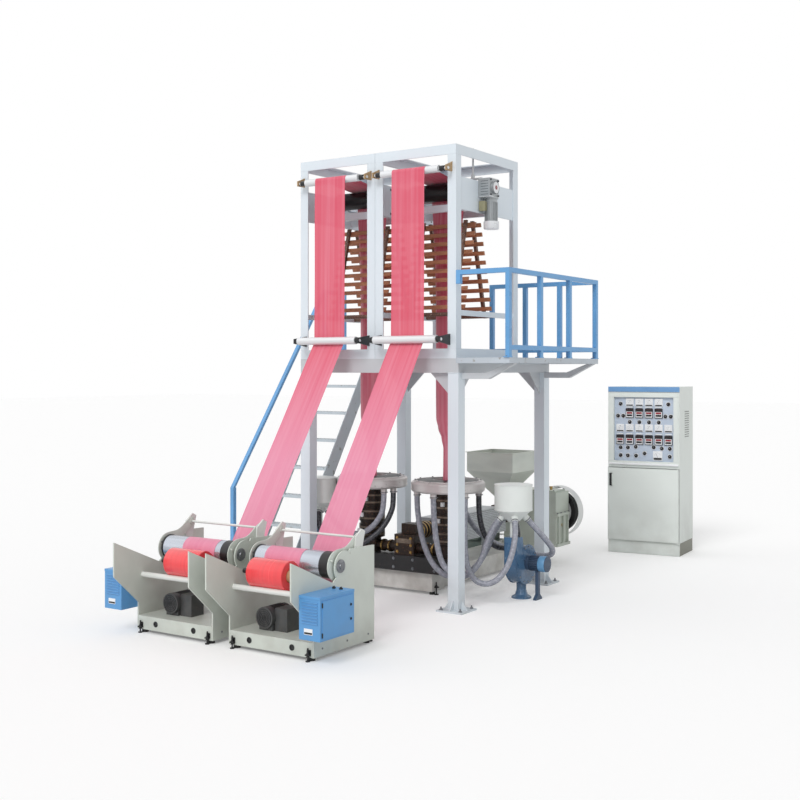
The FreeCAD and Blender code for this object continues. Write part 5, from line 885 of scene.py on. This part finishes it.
# ---------------------------------------------------------------- extruder and dies
for side, cx in BAY_X.items():
    top = Build("air_ring_top_" + side, "ring_alu", "ring_alu")
    top.ring((cx, BAY_Y, 0), Z, 0.290, 0.272, 0.994, 1.003, 72, 0.002)
    top.ring((cx, BAY_Y, 0), Z, 0.318, 0.312, 0.924, 0.930, 72, 0.001)
    top.ring((cx, BAY_Y, 0), Z, 0.318, 0.312, 0.970, 0.976, 72, 0.001)
    top.done()
    Build("air_ring_lips_" + side, "bed_black", "die_steel").lathe([(0.196, 0.995), (0.262, 0.995), (0.262, 0.999), (0.205, 1.001), (0.150, 1.010), (0.135, 1.010), (0.135, 1.002)],
              (cx, BAY_Y, 0), Z, 64, close=True).done()
    small = Build("air_ring_bolts_" + side)
    small.bolt_ring((cx, BAY_Y, 1.003), Z, 12, 0.281, 0.007, 0.006)
    small.bolt_ring((cx, BAY_Y, 0.962), Z, 8, 0.062, 0.006, 0.006, 20)
    small.done()
    clips = Build("heater_clips_" + side, "heater_band", "die_steel")
    wires = Build("heater_sockets_" + side, "plastic_white", "die_steel")
    pitch = (0.887 - 0.330 - 0.130) / 3
    for i in range(3):
        low = 0.330 + 0.130 + pitch * i
        for z in (low + pitch * 0.18, low + pitch * 0.62):
            clips.ring((cx, BAY_Y, 0), Z, 0.1164, 0.1145, z - 0.008, z + 0.008, 48, 0.0005)
            a = radians(-70 + 15 * i)
            spot = Vector((cx + 0.122 * cos(a), BAY_Y + 0.122 * sin(a), z))
            clips.rod(spot + Vector((-0.018, 0, 0)), spot + Vector((0.018, 0, 0)), 0.005, 10)
        a = radians(-120 + 20 * i)
        spot = Vector((cx + 0.126 * cos(a), BAY_Y + 0.126 * sin(a), low + pitch * 0.4))
        wires.box(spot - Vector((0.014, 0.012, 0.018)), spot + Vector((0.014, 0.012, 0.018)), 0.003)
    clips.done()
    wires.done()
mid = (BAY_X["left"] + BAY_X["right"]) / 2
run = BAY_X["right"] - BAY_X["left"] - 0.23 * 0.72
clamp = Build("manifold_clamps", "brass", "manifold_brown")
band = Build("manifold_bands", "heater_band", "manifold_brown")
for share in (0.08, 0.2, 0.8, 0.92):
    x = BAY_X["left"] + 0.23 * 0.36 + run * share
    clamp.ring((x, BAY_Y, 0.390), X, 0.0545, 0.0525, -0.007, 0.007, 36, 0.0005)
    clamp.rod((x, BAY_Y - 0.058, 0.376), (x, BAY_Y - 0.058, 0.404), 0.005, 10)
    clamp.bolt((x, BAY_Y - 0.058, 0.404), Z, 0.008, 0.006)
for k in range(2):
    y = BAY_Y + 0.120 + 0.096 * k
    for dy in (0.012, 0.060):
        clamp.ring((mid, y + dy, 0.520), Y, 0.0745, 0.0728, -0.006, 0.006, 40, 0.0005)
for sx in (-1, 1):
    for z in (0.36, 0.42, 0.48):
        clamp.bolt((mid + sx * 0.07, BAY_Y - 0.085, z), -Y, 0.010, 0.009)
clamp.done()
band.box((mid - 0.078, BAY_Y - 0.0875, 0.435), (mid + 0.078, BAY_Y - 0.0845, 0.475), 0.001)
band.done()
bed = Build("bed_bolts")
for x in (-0.47, -0.33, -0.11, 0.09, 0.31, 0.45):
    bed.bolt((x, -0.382, 0.300), -Y, 0.011, 0.009)
    bed.bolt((x, -0.382, 0.225), -Y, 0.011, 0.009)
bed.done()
frame_feet = Build("base_levelling", "plastic_black", "foot_rubber")
for x, y, wx, wy in ((-0.56, -0.27, 0, -1), (0.22, -0.27, 1, 0)):
    fx = x if wx == 0 else 0.262
    fy = -0.332 if wy else -0.27
    frame_feet.rod((fx, fy, 0.004), (fx, fy, 0.11), 0.006, 12)
    frame_feet.rod((fx, fy, 0.0), (fx, fy, 0.008), 0.020, 20)
    frame_feet.box((fx - 0.02, fy - 0.014, 0.060), (fx + 0.02, fy + 0.014, 0.072), 0.002)
    frame_feet.bolt((fx, fy, 0.072), Z, 0.011, 0.010)
frame_feet.done()
gear = Build("gear_bolts")
for y in (1.62, 1.70, 1.79, 1.87):
    for x, way in ((0.492, 1), (-0.112, -1)):
        gear.bolt((x, y, 0.523), Z, 0.008, 0.007)
for x in (-0.06, 0.06, 0.19, 0.32, 0.44):
    for y in (1.636, 1.854):
        gear.bolt((x, y, 0.745), Z, 0.007, 0.006)
gear.bolt_ring((mid, 1.578, 0.520), -Y, 8, 0.086, 0.007, 0.006, 22.5)
gear.bolt_ring((0.330, 1.9953, 0.510), Y, 6, 0.036, 0.006, 0.005)
gear.done()
web = Build("wheel_web_cover", "wheel_web", "wheel_iron", "drive_wheel")
for y, way in ((1.9265, -1), (1.9935, 1)):
    web.lathe([(0.050, 0.0), (0.172, 0.0), (0.174, -0.002), (0.174, -0.006), (0.050, -0.006)], (0.330, y, 0.510), (0, way, 0), 64,
              close=True)
web.done()
gauge = Build("oil_gauge", "brass", "gear_green")
gauge.ring((0.480, 1.745, 0.400), X, 0.018, 0.012, 0.0, 0.006, 28, 0.001)
gauge.lathe([(0, 0.0), (0.013, 0.0), (0.013, 0.003), (0, 0.003)], (0.480, 1.745, 0.400), X, 24)
gauge.rod((0.36, 1.74, 0.744), (0.36, 1.74, 0.768), 0.012, 20)
gauge.rod((0.36, 1.74, 0.765), (0.36, 1.74, 0.778), 0.018, 20)
gauge.done()

# ---------------------------------------------------------------- blowers and hose clips
for side, (bx, by) in {"left": (-0.830, -0.3675), "right": (0.930, 0.030)}.items():
    s = SIGN[side]
    cy = by - 0.190 + 0.0475
    seams_and_louvre_shade = Build("air_drum_seams_" + side, "drum_grey", "drum_grey")
    seams_and_louvre_shade.ring((bx, cy, 0), Z, 0.1625, 0.1585, 0.972, 0.9795, 72, 0.001)
    seams_and_louvre_shade.ring((bx, cy, 0), Z, 0.1620, 0.1590, 0.762, 0.770, 72, 0.001)
    seams_and_louvre_shade.done()
    plate = Build("scroll_bolts_" + side)
    for k in range(10):
        turn = radians(110 - 28 * k)
        reach = 0.1406 + 0.0494 * (28 * k + 10) / 300 - 0.012
        for way in (-1, 1):
            plate.bolt((bx + way * 0.060, by + reach * cos(turn), FAN_Z + reach * sin(turn)), X * way, 0.006,
                       0.005)
    plate.bolt_ring((bx - s * 0.086, by, FAN_Z), X * -s, 8, 0.088, 0.006, 0.005, 10)
    plate.done()
    inlet = Build("inlet_grille_" + side, "plastic_black", "blower_blue")
    for r in (0.022, 0.036, 0.050, 0.064):
        inlet.ring((bx - s * 0.086, by, FAN_Z), X * -s, r + 0.0025, r - 0.0025, -0.001, 0.003, 40, 0.0005)
    for c, s2 in around(6):
        inlet.rod((bx - s * 0.0875, by, FAN_Z), (bx - s * 0.0875, by + 0.068 * c, FAN_Z + 0.068 * s2), 0.0016,
                  8)
    inlet.done()
    start = bx + s * 0.060
    Build("fan_cover_" + side, "cover_blue", "motor_blue").lathe([(0.058, 0.122), (0.0655, 0.122), (0.0668, 0.125), (0.0668, 0.178), (0.064, 0.186), (0.056, 0.1898),
                 (0.010, 0.1898), (0.0, 0.1898), (0.0, 0.150), (0.058, 0.150)], (start, by, FAN_Z), X * s, 48).done()
    slots = Build("fan_cover_slots_" + side, "motor_blue", "motor_blue")
    at = Vector((start + s * 0.1899, by, FAN_Z))
    for c, s2 in around(16):
        slots.rod(at + Vector((0, c, s2)) * 0.026, at + Vector((0, c, s2)) * 0.046, 0.0010, 6)
    slots.done()
clips = Build("hose_clips")
for name, points in HOSES.items():
    for tip, after in ((points[0], points[1]), (points[-1], points[-2])):
        tip, after = Vector(tip), Vector(after)
        along = (tip - after).normalized()
        clips.ring(tip + along * 0.009, along, 0.0302, 0.0272, -0.005, 0.005, 32, 0.0006)
        nub = along.orthogonal().normalized()
        clips.rod(tip + along * 0.009 + nub * 0.033 - along.cross(nub) * 0.008,
                  tip + along * 0.009 + nub * 0.033 + along.cross(nub) * 0.008, 0.0035, 10)
clips.done()

# ---------------------------------------------------------------- control cabinet
PLACE = Matrix.Translation((0.868, 3.100, 0)) @ Matrix.Rotation(radians(5), 4, "Z")
PANEL = -0.235
FRONT = -0.260


def spot(u, v):
    """A place on the instrument panel from its share across and down."""
    return -0.318 + 0.636 * u, 1.650 - 0.672 * v


Build("instrument_panel", "panel_blue", "cabinet_paint").box((-0.3545, PANEL - 0.002, 0.9755),
                                                             (0.3545, PANEL + 0.0005,
                                                              1.6645), 0.0008).done(PLACE)
Build("cabinet_stripe", "stripe_blue", "cabinet_paint").box((-0.3852, FRONT - 0.0025, 1.712),
                                                            (0.3852, FRONT + 0.001, 1.7655), 0.0012).done(PLACE)
rim = Build("panel_frame", "cabinet_paint", "cabinet_paint")
for lo, hi in (((-0.370, 0.952), (0.370, 0.980)), ((-0.370, 1.654), (0.370, 1.682)),
               ((-0.370, 0.980), (-0.322, 1.654)), ((0.322, 0.980), (0.370, 1.654))):
    rim.box((lo[0], FRONT - 0.008, lo[1]), (hi[0], FRONT + 0.004, hi[1]), 0.0025)
for end in (-1, 1):
    edges = sorted((end * 0.322, end * 0.3545))
    rim.box((edges[0], FRONT + 0.004, 0.9755), (edges[1], PANEL + 0.0005, 1.6645), 0.001)
rim.box((-0.3852, FRONT - 0.0006, 0.002), (0.3852, FRONT + 0.011, 0.134), 0.001)
rim.done(PLACE)
Build("panel_ledge", "plastic_white", "cabinet_paint").prism([(FRONT - 0.020, 0.950), (FRONT - 0.018, 0.956), (FRONT, 0.962), (FRONT, 0.936), (FRONT - 0.018, 0.940)], 0,
            -0.374, 0.374, 0.0015).done(PLACE)
# The plinth's side faces are a darker olive grey than its white front: painted shade.
shade = Build("plinth_sides", "plinth_dark", "cabinet_paint")
for end in (-1, 1):
    edges = sorted((end * 0.3752, end * 0.3846))
    shade.box((edges[0], FRONT + 0.011, 0.002), (edges[1], -FRONT - 0.011, 0.134), 0.001)
shade.done(PLACE)
white = Build("gauge_cases", "plastic_white", "cabinet_paint")
black = Build("gauge_faces", "plastic_black", "foot_rubber")
reds = Build("displays", "display_red", "foot_rubber")
for u, v in [(0.258 + 0.164 * i, 0.075) for i in range(4)] + [(0.094 + 0.164 * i, 0.480) for i in range(6)]:
    x, z = spot(u, v)
    white.box((x - 0.043, PANEL - 0.012, z - 0.041), (x + 0.043, PANEL - 0.002, z + 0.041), 0.004)
    white.box((x - 0.037, PANEL - 0.0135, z - 0.008), (x + 0.037, PANEL - 0.0118, z + 0.036), 0.001)
    black.box((x - 0.036, PANEL - 0.0132, z - 0.036), (x + 0.036, PANEL - 0.0119, z - 0.024), 0.0008)
    black.prism([(x - 0.014, z - 0.008), (x - 0.0128, z - 0.008), (x + 0.008, z + 0.022), (x + 0.0074, z + 0.0228)], 1,
                PANEL - 0.0142, PANEL - 0.0135, 0.0)
    for k in range(9):
        a = radians(140 - 12.5 * k)
        px, pz = x + 0.030 * cos(a) * 0.9, z - 0.012 + 0.036 * sin(a)
        black.box((px - 0.0005, PANEL - 0.0141, pz - 0.0025), (px + 0.0005, PANEL - 0.0135, pz + 0.0015), 0.0)
for u, v in [(0.258 + 0.164 * i, 0.245) for i in range(4)] + [(0.094 + 0.164 * i, 0.665) for i in range(6)]:
    x, z = spot(u, v)
    black.box((x - 0.042, PANEL - 0.016, z - 0.050), (x + 0.042, PANEL - 0.002, z + 0.050), 0.003)
    white.box((x - 0.037, PANEL - 0.0168, z - 0.044), (x + 0.037, PANEL - 0.0158, z + 0.016), 0.001)
    reds.box((x - 0.030, PANEL - 0.0178, z - 0.008), (x + 0.030, PANEL - 0.0166, z + 0.012), 0.001)
    black.box((x - 0.030, PANEL - 0.0176, z - 0.034), (x + 0.030, PANEL - 0.0166, z - 0.014), 0.001)
    white.box((x - 0.034, PANEL - 0.0166, z + 0.058), (x + 0.034, PANEL - 0.002, z + 0.068), 0.001)
    for k in range(4):
        black.lathe([(0, 0), (0.0042, 0), (0.0036, 0.0016), (0, 0.002)], (x - 0.0195 + 0.013 * k, PANEL - 0.0176, z - 0.024),
                    -Y, 12)
    for k in range(3):
        reds.lathe([(0, 0), (0.0022, 0), (0.0018, 0.001), (0, 0.0012)], (x - 0.020 + 0.020 * k, PANEL - 0.016, z + 0.042),
                   -Y, 10)
KNOBS = [(0.10, 0.10), (0.91, 0.10), (0.055, 0.290), (0.145, 0.290), (0.862, 0.290), (0.952, 0.290)]
KNOBS += [(0.258 + 0.164 * i, 0.385) for i in range(4)]
KNOBS += [(0.10, 0.790), (0.225, 0.790), (0.36, 0.775), (0.665, 0.775), (0.80, 0.790), (0.935, 0.790)]
KNOBS += [(0.10, 0.915), (0.225, 0.915), (0.365, 0.915), (0.51, 0.875), (0.935, 0.915)]
for u, v in KNOBS:
    x, z = spot(u, v)
    white.lathe([(0.0, 0.0), (0.026, 0.0), (0.0255, 0.002), (0.0, 0.002)], (x, PANEL - 0.002, z), -Y, 32)
    black.lathe([(0.0, 0.001), (0.0205, 0.001), (0.0200, 0.006), (0.0165, 0.008), (0.0150, 0.018), (0.0130, 0.020), (0.0, 0.020)],
                (x, PANEL - 0.002, z), -Y, 28)
    white.box((x - 0.0012, PANEL - 0.0232, z + 0.001), (x + 0.0012, PANEL - 0.0219, z + 0.0095), 0.0004)
    for k in range(11):
        a = radians(-225 + 27 * k)
        px, pz = x + 0.0236 * cos(a), z + 0.0236 * sin(a)
        black.lathe([(0, 0), (0.0007, 0), (0.0007, 0.0005), (0, 0.0005)], (px, PANEL - 0.004, pz), -Y, 6)
x, z = spot(0.735, 0.905)
white.box((x - 0.050, PANEL - 0.014, z - 0.050), (x + 0.050, PANEL - 0.002, z + 0.050), 0.005)
black.box((x - 0.043, PANEL - 0.0152, z - 0.043), (x + 0.043, PANEL - 0.0138, z - 0.022), 0.001)
for k in range(13):
    a = radians(150 - 10 * k)
    px, pz = x + 0.038 * cos(a), z - 0.020 + 0.050 * sin(a)
    black.box((px - 0.0006, PANEL - 0.0146, pz - 0.003), (px + 0.0006, PANEL - 0.0139, pz + 0.002), 0.0)
black.prism([(x - 0.001, z - 0.020), (x + 0.001, z - 0.020), (x - 0.017, z + 0.026), (x - 0.018, z + 0.0255)], 1,
            PANEL - 0.0150, PANEL - 0.0142, 0.0)
white.done(PLACE)
black.done(PLACE)
reds.done(PLACE)
# Black strips on both sides of the cabinet, one under each louvre, are painted shade of the vent slots; the black line
# across the front under the stripe is a seam.
seams_and_louvre_shade = Build("cabinet_seam_and_louvre_shade", "plastic_black", "foot_rubber")
seams_and_louvre_shade.box((-0.3855, FRONT - 0.0005, 1.706), (0.3855, FRONT + 0.002, 1.709), 0.0)
# Painted shade under each side louvre.
for i in range(12):
    z = 1.50 - i * 0.024
    seams_and_louvre_shade.box((0.3852, -0.06, z), (0.3862, 0.10, z + 0.007), 0.0)
    seams_and_louvre_shade.box((-0.3862, -0.06, z), (-0.3852, 0.10, z + 0.007), 0.0)
seams_and_louvre_shade.done(PLACE)
vents = Build("cabinet_louvres", "cabinet_paint", "cabinet_paint")
for i in range(12):
    z = 1.50 - i * 0.024
    for end in (-1, 1):
        vents.prism([(-0.065, z + 0.007), (0.105, z + 0.007), (0.105, z + 0.012), (-0.065, z + 0.012)], 0,
                    *((0.3845, 0.3905) if end > 0 else (-0.3905, -0.3845)), 0.001)
vents.done(PLACE)
pull = Build("door_handle", "plastic_black", "foot_rubber", "door")
pull.box((-0.358, -0.3092, 0.712), (-0.330, -0.2875, 0.848), 0.005)
pull.box((-0.352, -0.3125, 0.724), (-0.336, -0.3085, 0.800), 0.002)
pull.lathe([(0, 0), (0.0065, 0), (0.0065, 0.003), (0, 0.004)], (-0.344, -0.3092, 0.822), -Y, 20)
pull.done(PLACE)
Build("door_skin", "cabinet_paint", "cabinet_paint", "door").box((-0.372, -0.2905, 0.150),
                                                                 (0.372, -0.2876, 0.896), 0.0025).done(PLACE)

# ---------------------------------------------------------------- light and floor
scene = bpy.context.scene
scene.view_settings.view_transform = "Standard"
world = bpy.data.worlds.new("world")
scene.world = world
world.use_nodes = True
nodes, links = world.node_tree.nodes, world.node_tree.links
back = nodes["Background"]
back.inputs["Color"].default_value = (1.0, 1.0, 1.0, 1.0)
rays = nodes.new("ShaderNodeLightPath")
seen = nodes.new("ShaderNodeMath")
seen.operation = "MAXIMUM"
links.new(rays.outputs["Is Camera Ray"], seen.inputs[0])
links.new(rays.outputs["Is Glossy Ray"], seen.inputs[1])
level = nodes.new("ShaderNodeMapRange")
level.inputs["To Min"].default_value = 0.66
level.inputs["To Max"].default_value = 1.0
links.new(seen.outputs[0], level.inputs["Value"])
links.new(level.outputs["Result"], back.inputs["Strength"])
for name, energy, angle, turn in (("key", 1.25, 24, (52, 0, 8)), ("fill", 0.25, 60, (60, 0, -70))):
    data = bpy.data.lights.new(name, "SUN")
    data.energy = energy
    data.angle = radians(angle)
    lamp = bpy.data.objects.new(name, data)
    lamp.rotation_euler = tuple(radians(v) for v in turn)
    scene.collection.objects.link(lamp)

floor_mat = bpy.data.materials.new("floor")
floor_mat.use_nodes = True
nodes, links = floor_mat.node_tree.nodes, floor_mat.node_tree.links
shader = nodes["Principled BSDF"]
shader.inputs["Base Color"].default_value = (0.86, 0.86, 0.86, 1)
shader.inputs["Roughness"].default_value = 0.9
shader.inputs["Specular IOR Level"].default_value = 0.1
rays = nodes.new("ShaderNodeLightPath")
glow = nodes.new("ShaderNodeMapRange")
glow.inputs["To Max"].default_value = 0.16
links.new(rays.outputs["Is Camera Ray"], glow.inputs["Value"])
shader.inputs["Emission Color"].default_value = (1, 1, 1, 1)
links.new(glow.outputs["Result"], shader.inputs["Emission Strength"])
mesh = bpy.data.meshes.new("floor")
mesh.from_pydata([(-60, -60, 0), (60, -60, 0), (60, 60, 0), (-60, 60, 0)], [], [(0, 1, 2, 3)])
mesh.materials.append(floor_mat)
floor = bpy.data.objects.new("floor", mesh)
scene.collection.objects.link(floor)
